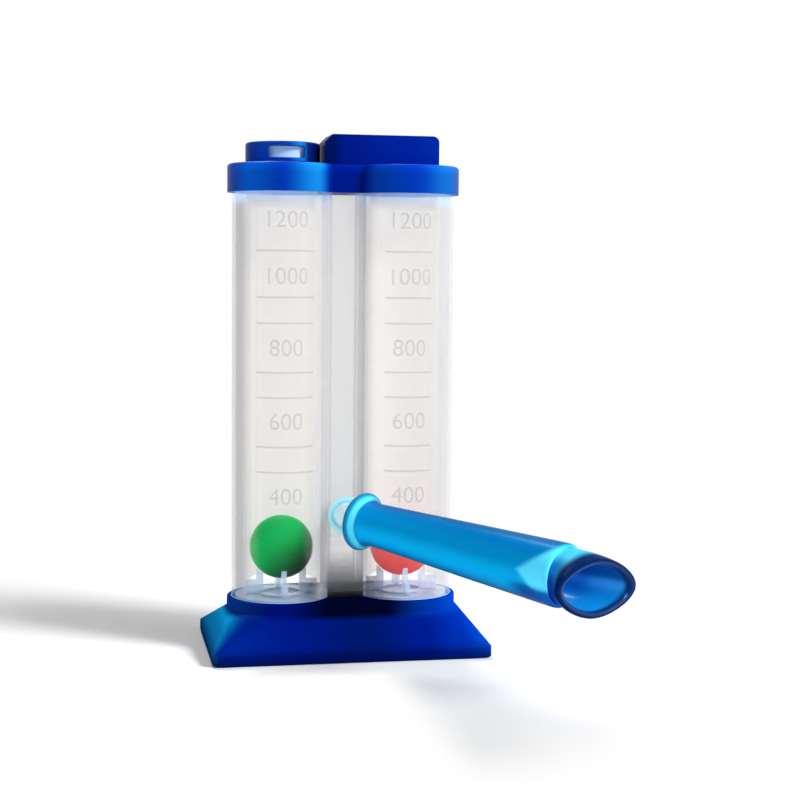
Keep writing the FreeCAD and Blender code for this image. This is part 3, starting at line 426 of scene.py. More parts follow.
# A painted glow keeps the pale seats bright inside the column, with painted shade near the middle of the deck
seat_styrene, tree, shader, _ = clear_plastic("pale_blue_moulded_styrene", "#E8F2FF", face_alpha=0.5,
                                              edge_alpha=0.65)
tree.links.new(middle_shade(tree, "#E8F2FF", "#405080"), shader.inputs["Base Color"])
tree.links.new(middle_shade(tree, "#A8CCF0", "#101830"), shader.inputs["Emission Color"])
shader.inputs["Emission Strength"].default_value = SEAT_PAINTED_GLOW
stop_styrene = clear_plastic("milky_moulded_styrene", "#F4F2F0", face_alpha=0.12, edge_alpha=0.2)[0]
for side in ("left", "right"):
    set_material(nodes[side + "_flow_tube"], frosted)
    set_material(nodes[side + "_scale_label"], film)
    set_material(nodes[side + "_ball_seat"], seat_styrene)
    set_material(nodes[side + "_ball_stop"], stop_styrene)
# A painted cyan glow lightens the elbow
elbow_styrene, tree, shader, _ = clear_plastic("cyan_tinted_clear_styrene", "#A0F4FF", face_alpha=0.38,
                                               edge_alpha=0.3)
shader.inputs["Emission Color"].default_value = linear("#60D8FF")
shader.inputs["Emission Strength"].default_value = ELBOW_PAINTED_GLOW
set_material(nodes["port_elbow"], elbow_styrene)
print("frosted behind the middle of each flow tube")

# %% [markdown]
# ## Balls and small parts
# The balls are hollow polyethylene, satin rather than glossy, so that they can be seen across a room. The
# dial's ring and pin are acetal, and the gaskets are pale silicone.

# %% Balls and small parts
TOWARDS_SHADE = Vector((0.62, -0.25, -0.74))
SHADE_START = 0.4
BALL_PAINTED_GLOW = 0.3


def middle_and_radius(node):
    low, high = (Vector(corner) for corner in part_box(node))
    return (low + high) / 2, (high.z - low.z) / 2


def ball_plastic(name, node, light, dark):
    # A hollow ball is painted brighter at its upper left, where the light comes in, than at its lower right
    material, tree, shader, colour = moulded_plastic(
        name, light, light, roughness=0.42, specular=0.05, tint=light)
    middle, radius = middle_and_radius(node)
    place = add_node(tree, "ShaderNodeTexCoord").outputs["Object"]
    dot = add_node(tree, "ShaderNodeVectorMath", {0: place, 1: TOWARDS_SHADE}, operation="DOT_PRODUCT")
    level = middle.dot(TOWARDS_SHADE)
    share = add_node(tree, "ShaderNodeMapRange",
                     {"Value": dot.outputs["Value"], "From Min": level - SHADE_START * radius,
                      "From Max": level + radius}, interpolation_type="SMOOTHSTEP")
    shade = add_node(tree, "ShaderNodeMix",
                     {"Factor": share.outputs["Result"], "A": colour, "B": linear(dark)}, data_type="RGBA")
    tree.links.new(shade.outputs["Result"], shader.inputs["Base Color"])
    # A weak painted glow in the ball's own colour lightens it all over
    tree.links.new(shade.outputs["Result"], shader.inputs["Emission Color"])
    shader.inputs["Emission Strength"].default_value = BALL_PAINTED_GLOW
    return material


for node, material_name, light, dark in (
        ("green_ball", "green_moulded_polyethylene", "#00B458", "#002C0C"),
        ("red_ball", "red_moulded_polyethylene", "#FF6460", "#E85450")):
    set_material(nodes[node], ball_plastic(material_name, node, light, dark))
pale_acetal = moulded_plastic("pale_moulded_acetal", "#BCE0FF", "#B0D6FC", roughness=0.5)[0]
seal_silicone = moulded_plastic("pale_moulded_silicone", "#C8C8CC", "#BCBCC0", roughness=0.6)[0]
for name in ("setting_ring", "dial_pin"):
    set_material(nodes[name], pale_acetal)
for name in ("cap_gasket", "dial_gasket", "elbow_o_ring"):
    set_material(nodes[name], seal_silicone)

# %% [markdown]
# ## Working in edit mode
# A new piece starts as a ring of corners and grows by extruding that ring, as one would by hand. The ring is
# moved and resized after each extrusion, and its diagonal corners can be drawn in, which turns an oval into
# a lemon. The last ring is bridged to the first, so the wall has an outside, a rim and an inside.


# %% Ring modelling helpers
AXIS_REACH = 0.2


def start_fresh():
    if bpy.context.object and bpy.context.object.mode != "OBJECT":
        bpy.ops.object.mode_set(mode="OBJECT")
    bpy.ops.object.select_all(action="DESELECT")


def pick(piece):
    start_fresh()
    piece.select_set(True)
    bpy.context.view_layer.objects.active = piece


def apply_modifiers(piece):
    pick(piece)
    for modifier in list(piece.modifiers):
        bpy.ops.object.modifier_apply(modifier=modifier.name)


def apply_place(piece, matrix):
    pick(piece)
    piece.matrix_world = matrix
    bpy.ops.object.transform_apply(location=True, rotation=True, scale=True)


def resize_ring(across, upward, height):
    bpy.ops.transform.resize(value=(across, upward, 1.0), center_override=(0.0, 0.0, height))


def pinch_ring(factor, height):
    # Only the corners that lie between the axes are drawn in
    mesh = bmesh.from_edit_mesh(bpy.context.object.data)
    ring = [corner for corner in mesh.verts if corner.select]
    reach = max(abs(corner.co.x) for corner in ring)
    rise = max(abs(corner.co.y) for corner in ring)
    for corner in ring:
        corner.select = abs(corner.co.x) > reach * AXIS_REACH and abs(corner.co.y) > rise * AXIS_REACH
    mesh.select_flush_mode()
    bpy.ops.transform.resize(value=(1.0, factor, 1.0), center_override=(0.0, 0.0, height))
    for corner in ring:
        corner.select = True
    mesh.select_flush_mode()


def ring_shell(name, corners, stations, levels, drops=()):
    # Subdivision pulls a ring inwards by a known share, so the ring is drawn that much larger
    shrink = (2 + math.cos(2 * math.pi / corners)) / 3
    start_fresh()
    height, across, upward, pinch = stations[0]
    bpy.ops.mesh.primitive_circle_add(vertices=corners, radius=MM, location=(0.0, 0.0, height * MM))
    piece = bpy.context.object
    piece.name = name
    bpy.ops.object.transform_apply(location=True)
    bpy.ops.object.mode_set(mode="EDIT")
    bpy.ops.mesh.select_mode(type="VERT")
    bpy.ops.mesh.select_all(action="SELECT")
    resize_ring(across / shrink, upward / shrink, height * MM)
    for station in stations[1:]:
        step = (station[0] - height) * MM
        bpy.ops.mesh.extrude_region_move(TRANSFORM_OT_translate={"value": (0.0, 0.0, step)})
        resize_ring(station[1] / across, station[2] / upward, station[0] * MM)
        if station[3] != pinch:
            pinch_ring(station[3] / pinch, station[0] * MM)
        height, across, upward, pinch = station
    bpy.ops.mesh.select_all(action="DESELECT")
    bpy.ops.mesh.select_mode(type="EDGE")
    bpy.ops.mesh.select_non_manifold(extend=False, use_wire=False, use_boundary=True, use_multi_face=False,
                                     use_non_contiguous=False, use_verts=False)
    bpy.ops.mesh.bridge_edge_loops()
    bpy.ops.mesh.select_all(action="SELECT")
    bpy.ops.mesh.normals_make_consistent(inside=False)
    bpy.ops.mesh.select_mode(type="VERT")
    # Each drop moves all corners that lie beyond a height by a small step
    for height, drop in drops:
        mesh = bmesh.from_edit_mesh(piece.data)
        for corner in mesh.verts:
            corner.select = corner.co.z > height * MM
        mesh.select_flush_mode()
        bpy.ops.transform.translate(value=(0.0, drop * MM, 0.0))
    bpy.ops.object.mode_set(mode="OBJECT")
    smooth = piece.modifiers.new("rounding", "SUBSURF")
    smooth.levels = levels
    smooth.render_levels = levels
    apply_modifiers(piece)
    bpy.ops.object.shade_smooth()
    return piece


# %% [markdown]
# ## Mouth tube
# The tube is one moulding: a bell flange that the hand turns, a soft neck behind it, and a body that widens
# slowly towards the lips. It is turned about the middle line of the elbow's outlet, which is also the axis
# that it twists about. The stations run along the outside, round the far end and back through the bore.

# %% Mouth tube
ALONG = Vector(joints["mouthpiece_twist"]["axis"]).normalized()
UPWARD = Vector((0.0, -1.0, 0.0)).cross(ALONG).normalized()
ACROSS = UPWARD.cross(ALONG)
BEND_POINT = Vector(joints["mouthpiece_twist"]["pos_m"])
mouth_frame = Matrix.Translation(BEND_POINT) @ Matrix((ACROSS, UPWARD, ALONG)).transposed().to_4x4()

TUBE_START_MM = 6.1
BELL_MM = 11.15
GRIP_MM = 8.3
FLARE_MM = 11.5
SOCKET_MM = 10.0
SPIGOT_FIT_MM = 6.08
# The distance along the tube and the radius there, both in millimetres
outside = [
    (0.0, 9.6), (0.1, 10.5), (0.7, BELL_MM), (1.5, BELL_MM), (2.2, 10.75), (2.5, 10.1), (2.9, 9.5),
    (4.2, 8.75), (6.5, GRIP_MM + 0.05), (9.0, GRIP_MM), (30.0, 9.1), (60.0, 10.25), (86.0, 11.15),
    (93.0, 11.42), (96.5, FLARE_MM), (97.5, 11.3), (97.85, 10.9),
]
inside = [(97.9, 10.3), (97.5, SOCKET_MM), (90.2, SOCKET_MM), (89.9, 9.8), (89.9, 8.7), (60.0, 7.9),
          (12.0, 6.9), (11.4, 6.7), (11.2, SPIGOT_FIT_MM + 0.1), (10.6, SPIGOT_FIT_MM), (0.6, SPIGOT_FIT_MM),
          (0.0, SPIGOT_FIT_MM + 0.4)]
stations = [(TUBE_START_MM + along, radius, radius, 1.0) for along, radius in outside + inside]
mouth_tube = ring_shell("mouth_tube_moulding", 32, stations, 2)
apply_place(mouth_tube, mouth_frame)
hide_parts("mouthpiece_tube")
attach(mouth_tube, "mouthpiece")
print("mouth tube", len(mouth_tube.data.polygons), "faces")

# %% [markdown]
# ## Mouth bit
# The bit is pushed into the tube's end. It starts round and spreads to a lemon with a thick soft rim for the
# lips, 47 mm wide, which hangs a little low. Eight corners a ring are enough, because subdivision rounds
# them.

# %% Mouth bit
BIT_START_MM = 104.3
MOUTH_HALF_MM = 23.6
MOUTH_RISE_MM = 11.2
# The distance along, half the width, half the height, and what is left when the diagonal corners are drawn in
bit_outside = [
    (-7.9, 9.85, 9.85, 1.0), (-7.0, 9.9, 9.9, 1.0), (-0.4, 9.9, 9.9, 1.0), (0.7, 10.2, 10.0, 1.0),
    (3.8, 12.6, 10.5, 0.97), (7.6, 17.2, 10.9, 0.9), (11.2, 22.2, 11.15, 0.82),
    (13.0, MOUTH_HALF_MM, MOUTH_RISE_MM, 0.78), (13.9, 23.2, 11.0, 0.78),
]
bit_inside = [
    (14.0, 21.8, 10.1, 0.78), (13.8, 20.3, 9.1, 0.78), (12.9, 19.2, 8.6, 0.79), (8.0, 13.6, 8.4, 0.9),
    (3.8, 10.0, 8.45, 0.97), (0.0, 8.5, 8.45, 1.0), (-7.2, 8.45, 8.45, 1.0), (-7.9, 8.6, 8.6, 1.0),
]
stations = [(BIT_START_MM + along, across, upward, pinch)
            for along, across, upward, pinch in bit_outside + bit_inside]
LIP_DROPS_MM = ((BIT_START_MM + 5.0, -0.4), (BIT_START_MM + 10.0, -0.5), (BIT_START_MM + 12.5, -0.3))
mouth_bit = ring_shell("mouth_bit_moulding", 8, stations, 4, LIP_DROPS_MM)
apply_place(mouth_bit, mouth_frame)
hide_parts("mouth_bit")
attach(mouth_bit, "mouth_bit")
print("mouth bit", len(mouth_bit.data.polygons), "faces")

# %% [markdown]
# ## Translucent blue
# Tube and bit are blue polypropylene that light passes into. The bell carries a painted cyan highlight, the
# body is clear blue with painted light and shade across its height, and the end over the bit's spigot has a
# painted V-shaped highlight and glow over painted shade on its lower side. The bit's neck and bore carry
# painted highlights too, and the thick rim at the lips is navy. Towards its edges the eye looks along the
# tube's wall, so it is darker there. Distances along the tube and up from its middle line come from Object
# coordinates, by a dot product with the tube's own directions.


# %% Distances on the slanted tube
def tube_distance(tree, way):
    place = add_node(tree, "ShaderNodeTexCoord").outputs["Object"]
    dot = add_node(tree, "ShaderNodeVectorMath", {0: place, 1: way}, operation="DOT_PRODUCT")
    return add_node(tree, "ShaderNodeMath", {0: dot.outputs["Value"], 1: BEND_POINT.dot(way)},
                    operation="SUBTRACT").outputs["Value"]


def lay_over(tree, under, colour, source, low_mm, high_mm, most=1.0):
    # The colour comes in while the distance goes from the first value to the second
    share = add_node(tree, "ShaderNodeMapRange",
                     {"Value": source, "From Min": low_mm * MM, "From Max": high_mm * MM, "To Max": most},
                     interpolation_type="SMOOTHSTEP")
    return add_node(tree, "ShaderNodeMix", {"Factor": share.outputs["Result"], "A": under, "B": colour},
                    data_type="RGBA").outputs["Result"]


# %% Translucent blue of the mouth tube
V_HIGHLIGHT_MM = 89.0
V_HIGHLIGHT_FADE_MM = 4.0
V_HIGHLIGHT_SLANT = 1.2
HIGHLIGHT_CYAN = "#54D8FF"
EDGE_TURN = (0.42, 0.82)
EDGE_DARK = 0.75
UNDER_SHADE = 0.85
TUBE_PAINTED_GLOW = 0.16
V_HIGHLIGHT_GLOW = 0.36
# Where each colour comes in, along the tube or up from its middle line
BELL_END_MM = (12.2, 10.2)
SPIGOT_END_MM = (84.0, 94.0)
LOWER_SIDE_MM = (-3.0, -6.0)
PATCH_RISE_MM = (-6.5, -3.5)
# Painted light and shade across the height: brightest just below the middle line, darker at top and bottom
HEIGHT_PAINTED_LIGHT = ((-11.5, "#0C5CA4"), (-8, "#049CE0"), (-3, "#06B4F8"), (3, "#0498E0"), (8, "#0478C4"),
                  (11.5, "#1478B4"))
# A painted highlight on the bell's rounded rim, inside a dark outline
BELL_PAINTED_HIGHLIGHT = ((6.1, "#125C84"), (8.2, "#1C80AC"), (9.0, "#4CD4F8"), (9.9, "#60E4FF"), (11.2, "#0C84CC"))
tube_plastic, tree, shader, blue = moulded_plastic(
    "translucent_blue_polypropylene", "#06A8EC", "#049CE0", roughness=0.26, specular=0.01, tint="#60E8FF")
upward, along = tube_distance(tree, UPWARD), tube_distance(tree, ALONG)
body = colour_along(tree, upward, HEIGHT_PAINTED_LIGHT, blue)
colour = lay_over(tree, body, colour_along(tree, along, BELL_PAINTED_HIGHLIGHT), along, *BELL_END_MM)
# Along its edges the eye looks through the wall lengthwise
weight = add_node(tree, "ShaderNodeLayerWeight", {"Blend": 0.5})
edges = add_node(tree, "ShaderNodeMapRange",
                 {"Value": weight.outputs["Facing"], "From Min": EDGE_TURN[0], "From Max": EDGE_TURN[1],
                  "To Max": EDGE_DARK}, interpolation_type="SMOOTHSTEP")
dark = add_node(tree, "ShaderNodeMix",
                {"Factor": edges.outputs["Result"], "A": colour, "B": linear("#08487C")}, data_type="RGBA")
# Painted shade darkens the lower side of the tube's end over the spigot, and above it lies a painted cyan
# highlight in the shape of a V
shaded_end = lay_over(tree, dark.outputs["Result"], linear("#0C3C90"), along, *SPIGOT_END_MM,
                     UNDER_SHADE)
below = lay_over(tree, dark.outputs["Result"], shaded_end, upward, *LOWER_SIDE_MM)
height = add_node(tree, "ShaderNodeMath", {0: upward}, operation="ABSOLUTE")
slant = add_node(tree, "ShaderNodeMath", {0: height.outputs["Value"], 1: V_HIGHLIGHT_SLANT}, operation="MULTIPLY")
reach = add_node(tree, "ShaderNodeMath", {0: along, 1: slant.outputs["Value"]}, operation="SUBTRACT")
patch = lay_over(tree, below, linear(HIGHLIGHT_CYAN), reach.outputs["Value"], V_HIGHLIGHT_MM,
                 V_HIGHLIGHT_MM + V_HIGHLIGHT_FADE_MM)
colour = lay_over(tree, below, patch, upward, *PATCH_RISE_MM)
tree.links.new(colour, shader.inputs["Base Color"])
# A weak painted glow lies over the whole tube, strongest in the V-shaped highlight
tube_glow = add_node(tree, "ShaderNodeMapRange",
                {"Value": reach.outputs["Value"], "From Min": V_HIGHLIGHT_MM * MM,
                 "From Max": (V_HIGHLIGHT_MM + V_HIGHLIGHT_FADE_MM) * MM, "To Min": TUBE_PAINTED_GLOW,
                 "To Max": V_HIGHLIGHT_GLOW})
tree.links.new(colour, shader.inputs["Emission Color"])
tree.links.new(tube_glow.outputs["Result"], shader.inputs["Emission Strength"])
set_material(mouth_tube, tube_plastic)

# %% Deep blue of the mouth bit
RIM_NAVY = linear("#022258")
OUTER_RIM_MM = (110.0, 115.0)
INNER_RIM_MM = (115.6, 117.4)
# The bit's neck carries painted light: the V-shaped highlight goes on over its upper side, its lower side is
# darker
BIT_PAINTED_LIGHT = ((-11, "#0A2C80"), (-2, "#0C3CA4"), (4, "#1C88D8"), (8, HIGHLIGHT_CYAN), (11, "#3CC0EC"))
BORE_PAINTED_HIGHLIGHTS = ((-10, "#087CBC"), (-4, "#0664AC"), (-0.5, "#2880D0"), (2, "#084C98"), (5, "#084890"),
                (7, "#2C74BC"), (9.5, "#0A447C"))
bit_plastic, tree, shader, _ = moulded_plastic(
    "deep_blue_translucent_polypropylene", "#0084DC", "#007CD0", roughness=0.3, specular=0.005,
    tint="#50C0FF")
bit_neck_light_and_shade = colour_along(tree, tube_distance(tree, UPWARD), BIT_PAINTED_LIGHT)
tree.links.new(lay_over(tree, bit_neck_light_and_shade, RIM_NAVY, tube_distance(tree, ALONG), *OUTER_RIM_MM),
               shader.inputs["Base Color"])
set_material(mouth_bit, bit_plastic)

# Inside, two painted highlights run as brighter bands across the bore
bore_plastic, tree, shader, blue = moulded_plastic(
    "bright_blue_translucent_polypropylene", "#0890E8", "#0688DC", roughness=0.2, specular=0.2,
    tint="#50C0FF")
bore_with_highlights = colour_along(tree, tube_distance(tree, UPWARD), BORE_PAINTED_HIGHLIGHTS, blue)
tree.links.new(lay_over(tree, bore_with_highlights, RIM_NAVY, tube_distance(tree, ALONG), *INNER_RIM_MM),
               shader.inputs["Base Color"])
mouth_bit.data.materials.append(bore_plastic)
# The faces of the bore are those that look towards the middle line
for face in mouth_bit.data.polygons:
    offset = face.center - BEND_POINT
    face.material_index = int(face.normal.dot(offset - ALONG * offset.dot(ALONG)) < 0)

# Blue polypropylene lets much of the light through, so its shadow is pale
SHADOW_PASSES = 0.93
for plastic in (tube_plastic, bit_plastic, bore_plastic):
    tree = plastic.node_tree
    shadow = add_node(tree, "ShaderNodeLightPath").outputs["Is Shadow Ray"]
    clear = add_node(tree, "ShaderNodeBsdfTransparent",
                     {"Color": (SHADOW_PASSES, SHADOW_PASSES, SHADOW_PASSES, 1.0)})
    solid = tree.nodes["Principled BSDF"].outputs["BSDF"]
    either = add_node(tree, "ShaderNodeMixShader", {0: shadow, 1: solid, 2: clear.outputs["BSDF"]})
    tree.links.new(either.outputs["Shader"], tree.nodes["Material Output"].inputs["Surface"])
print("colour changes along", [round(v, 3) for v in ALONG])

# %% [markdown]
# ## Balls with a parting line
# Each ball is blown from two halves, which leaves a fine groove round its middle. A sphere is cut just above
# and below its equator, and the ring of corners between the cuts is drawn in.

# %% Balls
SEAM_WIDE_MM = 0.5
SEAM_DEEP_MM = 0.18
SEAM_TILT = math.radians(24)
SHARP_EDGE = math.radians(35)


def make_ball(name, node, body):
    middle, radius = middle_and_radius(node)
    start_fresh()
    bpy.ops.mesh.primitive_uv_sphere_add(segments=96, ring_count=48, radius=radius)
    ball = bpy.context.object
    ball.name = name
    bpy.ops.object.mode_set(mode="EDIT")
    for side in (-1, 1):
        bpy.ops.mesh.select_all(action="SELECT")
        bpy.ops.mesh.bisect(plane_co=(0.0, 0.0, side * SEAM_WIDE_MM / 2 * MM), plane_no=(0.0, 0.0, 1.0))
    bpy.ops.mesh.select_all(action="DESELECT")
    mesh = bmesh.from_edit_mesh(ball.data)
    for corner in mesh.verts:
        corner.select = abs(corner.co.z) < SEAM_WIDE_MM / 8 * MM
    mesh.select_flush_mode()
    drawn_in = 1 - SEAM_DEEP_MM * MM / radius
    bpy.ops.transform.resize(value=(drawn_in, drawn_in, 1.0), center_override=(0.0, 0.0, 0.0))
    bpy.ops.object.mode_set(mode="OBJECT")
    bpy.ops.object.shade_smooth_by_angle(angle=SHARP_EDGE)
    apply_modifiers(ball)
    # The groove lies on the slant, as a ball comes to rest
    apply_place(ball, Matrix.Translation(middle) @ Matrix.Rotation(SEAM_TILT, 4, "Y"))
    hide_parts(node)
    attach(ball, body)
    return ball


for colour_name in ("green", "red"):
    node = colour_name + "_ball"
    ball = make_ball(node + "_moulding", node, node)
    set_material(ball, nodes[node].data.materials[0])
    print(ball.name, len(ball.data.polygons), "faces")

# %% [markdown]
# ## Bond lines
# Each column is glued to the deck, and the glue stands out as a soft clear bead round its foot, which
# catches the light as a pale ring. The bead is a small ring of corners, rounded by subdivision.

# %% Glue beads
BEAD_HIGH_MM = 1.5
BEAD_OUT_MM = 0.75
BEAD_ALPHA = 0.8
bead_glue, tree, shader, _ = moulded_plastic(
    "clear_cured_adhesive", "#D0E6FF", "#C4DCFA", roughness=0.2, specular=0.3)
# Painted shade darkens the beads near the middle of the deck
tree.links.new(middle_shade(tree, "#D0E6FF", "#18284C"), shader.inputs["Base Color"])
shader.inputs["Alpha"].default_value = BEAD_ALPHA
for side in ("left", "right"):
    low, high = (Vector(corner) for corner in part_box(side + "_column"))
    axis_x = (low.x + high.x) / 2
    wall = (high.x - low.x) / 2 / MM
    foot = low.z / MM
    section = [(0.05, wall + 0.02), (0.05, wall + BEAD_OUT_MM * 0.7), (0.35, wall + BEAD_OUT_MM),
               (0.9, wall + BEAD_OUT_MM * 0.6), (BEAD_HIGH_MM, wall + 0.08),
               (BEAD_HIGH_MM * 0.8, wall + 0.02)]
    bead = ring_shell(side + "_bond_bead", 32, [(up, out, out, 1.0) for up, out in section], 2)
    apply_place(bead, Matrix.Translation(Vector((axis_x, 0.0, foot * MM))))
    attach(bead, "housing")
    set_material(bead, bead_glue)
    print(bead.name, "round a wall of radius", round(wall, 2), "mm, foot at", round(foot, 2))

# %% [markdown]
# ## Printed scales
# Each flow tube carries a scale on a film round its front: thin lines with a number between each pair. A
# scale is drawn flat and cut into narrow strips, and a Simple Deform modifier bends it to the film's radius.
# Solidify gives the ink its thickness, and then it is moved onto its tube.

# %% Sizes of the print
LINE_HEIGHTS_MM = (156.3, 138.4, 128.4, 109.4, 99.6, 80.5, 70.6)
NUMBERS = (("1200", 168.0), ("1000", 146.3), ("800", 118.6), ("600", 90.1), ("400", 60.9))
LINE_THICK_MM = 0.75
DIGIT_MM = 9.2
STRIP_MM = 1.0
MERGE_MM = 0.0005
INK_MM = 0.03
FILM_RADIUS_MM = 14.45
# Where the middle of each scale's tube is, and how far round the tube it reaches to either side
scales = {"left": {"middle": -24.2, "half_turn": 50.0}, "right": {"middle": 24.2, "half_turn": 40.5}}


# %% Drawing, cutting and bending a scale
def add_line(half_width, height):
    start_fresh()
    bpy.ops.mesh.primitive_plane_add(size=1.0)
    line = bpy.context.object
    line.scale = (2 * half_width * MM, LINE_THICK_MM * MM, 1.0)
    line.location = (0.0, height * MM, 0.0)
    apply_place(line, line.matrix_basis.copy())
    return line


def add_number(text, height):
    start_fresh()
    bpy.ops.object.text_add()
    number = bpy.context.object
    number.data.body = text
    number.data.size = DIGIT_MM * MM
    number.data.align_x = "CENTER"
    number.data.align_y = "CENTER"
    bpy.ops.object.convert(target="MESH")
    number = bpy.context.object
    apply_place(number, Matrix.Translation((0.0, height * MM, 0.0)))
    return number


def cut_in_strips(piece, half_width):
    bpy.ops.object.mode_set(mode="EDIT")
    for cut in range(-int(half_width / STRIP_MM), int(half_width / STRIP_MM) + 1):
        bpy.ops.mesh.select_all(action="SELECT")
        bpy.ops.mesh.bisect(plane_co=(cut * STRIP_MM * MM, 0.0, 0.0), plane_no=(1.0, 0.0, 0.0))
    bpy.ops.mesh.select_all(action="SELECT")
    bpy.ops.mesh.remove_doubles(threshold=MERGE_MM * MM)
    bpy.ops.object.mode_set(mode="OBJECT")


def print_scale(side, middle, half_turn):
    radius = FILM_RADIUS_MM + INK_MM
    half_width = math.radians(half_turn) * radius
    pieces = [add_line(half_width, height) for height in LINE_HEIGHTS_MM]
    pieces += [add_number(text, height) for text, height in NUMBERS]
    start_fresh()
    for piece in pieces:
        piece.select_set(True)
    bpy.context.view_layer.objects.active = pieces[0]
    bpy.ops.object.join()
    scale = bpy.context.object
    scale.name = side + "_scale_print"
    cut_in_strips(scale, half_width)
    # Upright, facing the front
    apply_place(scale, Matrix.Rotation(math.pi / 2, 4, "X"))
    bend = scale.modifiers.new("round_the_film", "SIMPLE_DEFORM")
    bend.deform_method = "BEND"
    bend.deform_axis = "Z"
    bend.angle = math.radians(2 * half_turn)
    ink_body = scale.modifiers.new("ink", "SOLIDIFY")
    ink_body.thickness = INK_MM * MM
    ink_body.offset = 1.0
    apply_modifiers(scale)
    apply_place(scale, Matrix.Translation((middle * MM, -radius * MM, 0.0)))
    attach(scale, "housing")
    return scale


# %% Ink and scales
INK_ALPHA = 0.16
ink, tree, shader, _ = moulded_plastic("pale_grey_screen_print", "#B8B2AE", "#ACA6A2", roughness=0.6)
shader.inputs["Alpha"].default_value = INK_ALPHA
for side, values in scales.items():
    scale = print_scale(side, values["middle"], values["half_turn"])
    set_material(scale, ink)
    reaches = [math.hypot(v.co.x - values["middle"] * MM, v.co.y) / MM for v in scale.data.vertices]
    print(scale.name, len(scale.data.polygons), "faces, radius", round(min(reaches), 2), "to",
          round(max(reaches), 2))

# %% [markdown]
# ## Floor, background and light
# The object stands on a white sweep. Near the object the floor is a plain white surface, so that shadows
# fall on it. Further out, and in front of the left half where the photograph has no shadow, what the camera
# sees itself, in gloss or through clear plastic, is simply white.

# %% Floor
FLOOR_HALF = 4.0
FLOOR_DROP = 0.0002
SHADOW_NEAR = 0.12
SHADOW_FAR = 0.26
FRONT_MM = 40.0
FRONT_FADE_MM = 16.0
MIDDLE_MM = 14.0
MIDDLE_FADE_MM = 10.0
PAPER_GLOW = 0.02
start_fresh()
bpy.ops.mesh.primitive_plane_add(size=2 * FLOOR_HALF, location=(0, 0, -FLOOR_DROP))
floor = bpy.context.object
floor.name = "floor"
paper, tree, shader = new_material("white_paper_sweep")
shader.inputs["Base Color"].default_value = linear("#E6E6E6")
shader.inputs["Roughness"].default_value = 0.9
shader.inputs["Specular IOR Level"].default_value = 0.0


def seen_by_eye(tree):
    # What the camera sees itself, in gloss or through clear plastic
    path = add_node(tree, "ShaderNodeLightPath").outputs
    gloss = add_node(tree, "ShaderNodeMath", {0: path["Is Camera Ray"], 1: path["Is Glossy Ray"]},
                     operation="MAXIMUM")
    return add_node(tree, "ShaderNodeMath", {0: gloss.outputs["Value"], 1: path["Is Transmission Ray"]},
                    operation="MAXIMUM").outputs["Value"]


place = add_node(tree, "ShaderNodeTexCoord").outputs["Object"]
distance = add_node(tree, "ShaderNodeVectorMath", {0: place}, operation="LENGTH")
far = add_node(tree, "ShaderNodeMapRange",
               {"Value": distance.outputs["Value"], "From Min": SHADOW_NEAR, "From Max": SHADOW_FAR},
               interpolation_type="SMOOTHSTEP")
front_left = add_node(tree, "ShaderNodeMath",
                      {0: axis_share(tree, "Y", -FRONT_MM, -FRONT_MM - FRONT_FADE_MM),
                       1: axis_share(tree, "X", MIDDLE_MM + MIDDLE_FADE_MM, MIDDLE_MM - MIDDLE_FADE_MM)},
                      operation="MULTIPLY")
plain = add_node(tree, "ShaderNodeMath", {0: far.outputs["Result"], 1: front_left.outputs["Value"]},
                 operation="MAXIMUM")
eye = seen_by_eye(tree)
white = add_node(tree, "ShaderNodeEmission", {"Color": linear("#FFFFFF"), "Strength": 1.0})
glow = add_node(tree, "ShaderNodeMath", {0: eye, 1: PAPER_GLOW}, operation="MULTIPLY")
lift = add_node(tree, "ShaderNodeEmission", {"Color": linear("#FFFFFF"), "Strength": glow.outputs["Value"]})
near_sheet = add_node(tree, "ShaderNodeAddShader", {0: shader.outputs["BSDF"], 1: lift.outputs["Emission"]})
seen_plain = add_node(tree, "ShaderNodeMath", {0: plain.outputs["Value"], 1: eye}, operation="MULTIPLY")
sheet = add_node(tree, "ShaderNodeMixShader",
                 {0: seen_plain.outputs["Value"], 1: near_sheet.outputs["Shader"],
                  2: white.outputs["Emission"]})
tree.links.new(sheet.outputs["Shader"], tree.nodes["Material Output"].inputs["Surface"])
set_material(floor, paper)

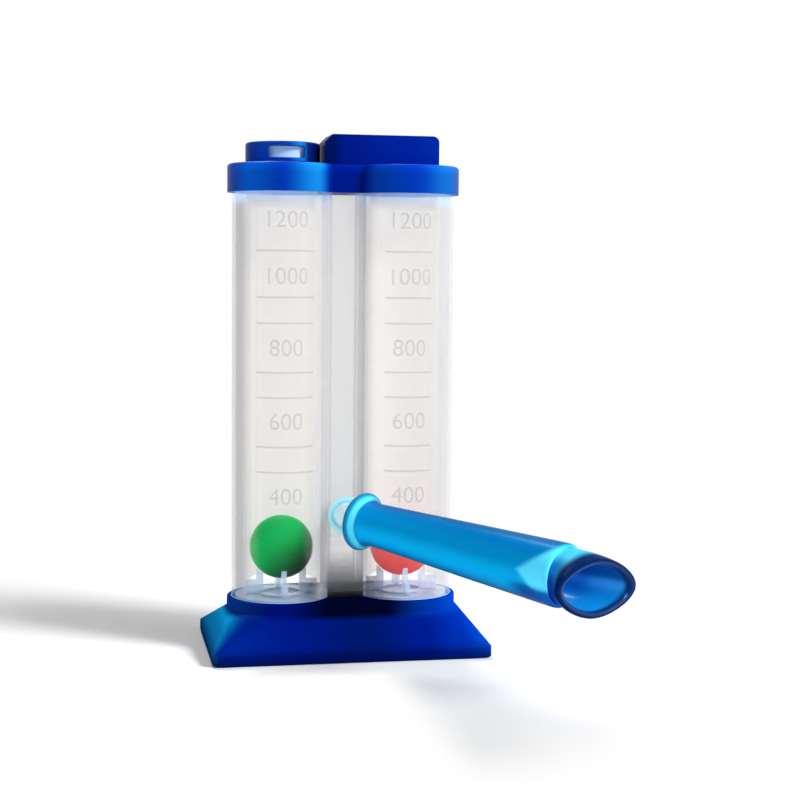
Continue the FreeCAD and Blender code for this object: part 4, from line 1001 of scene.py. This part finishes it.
# %% World
ROOM_LIGHT = 0.1
world = bpy.data.worlds.new("white_room")
bpy.context.scene.world = world
world.use_nodes = True
tree = world.node_tree
room = tree.nodes["Background"]
room.inputs["Color"].default_value = linear("#FFFFFF")
room.inputs["Strength"].default_value = ROOM_LIGHT
white = add_node(tree, "ShaderNodeBackground", {"Color": linear("#FFFFFF"), "Strength": 1.0})
either = add_node(tree, "ShaderNodeMixShader",
                  {0: seen_by_eye(tree), 1: room.outputs["Background"], 2: white.outputs["Background"]})
tree.links.new(either.outputs["Shader"], tree.nodes["World Output"].inputs["Surface"])

# %% [markdown]
# ## Lamps
# Two shadows lie on the floor, a dark one to the left and a fainter one to the front, so the main light
# comes from the right and a second one from behind. Both are suns with a wide disc, which gives even light
# and soft edges. A weak fill from the left and two low strip lights soften the shaded sides.


# %% Lamps
def direction(azimuth, elevation):
    # Azimuth is counted from +X towards +Y, and both angles are in degrees
    turn = math.radians(azimuth)
    rise = math.radians(elevation)
    return Vector((math.cos(turn) * math.cos(rise), math.sin(turn) * math.cos(rise), math.sin(rise)))


def add_sun(name, azimuth, elevation, disc, strength):
    data = bpy.data.lights.new(name, "SUN")
    data.energy = strength
    data.angle = math.radians(disc)
    lamp = bpy.data.objects.new(name, data)
    bpy.context.scene.collection.objects.link(lamp)
    lamp.matrix_world = direction(azimuth, elevation).to_track_quat("Z", "Y").to_matrix().to_4x4()


def add_strip(name, azimuth, elevation, width, height, power, distance=0.9, aim=0.12):
    data = bpy.data.lights.new(name, "AREA")
    data.energy = power
    data.shape = "RECTANGLE"
    data.size = width
    data.size_y = height
    lamp = bpy.data.objects.new(name, data)
    bpy.context.scene.collection.objects.link(lamp)
    away = direction(azimuth, elevation)
    place = away * distance + Vector((0.0, 0.0, aim))
    lamp.matrix_world = Matrix.Translation(place) @ away.to_track_quat("Z", "Y").to_matrix().to_4x4()


add_sun("right_sun", azimuth=-34, elevation=38, disc=15, strength=3.85)
add_sun("back_sun", azimuth=93, elevation=50, disc=12, strength=1.55)
add_sun("front_left_fill", azimuth=-150, elevation=40, disc=50, strength=0.2)
add_strip("right_strip", azimuth=-16, elevation=8, width=0.22, height=0.5, power=1.3)
add_strip("left_strip", azimuth=-160, elevation=8, width=0.2, height=0.5, power=0.8)
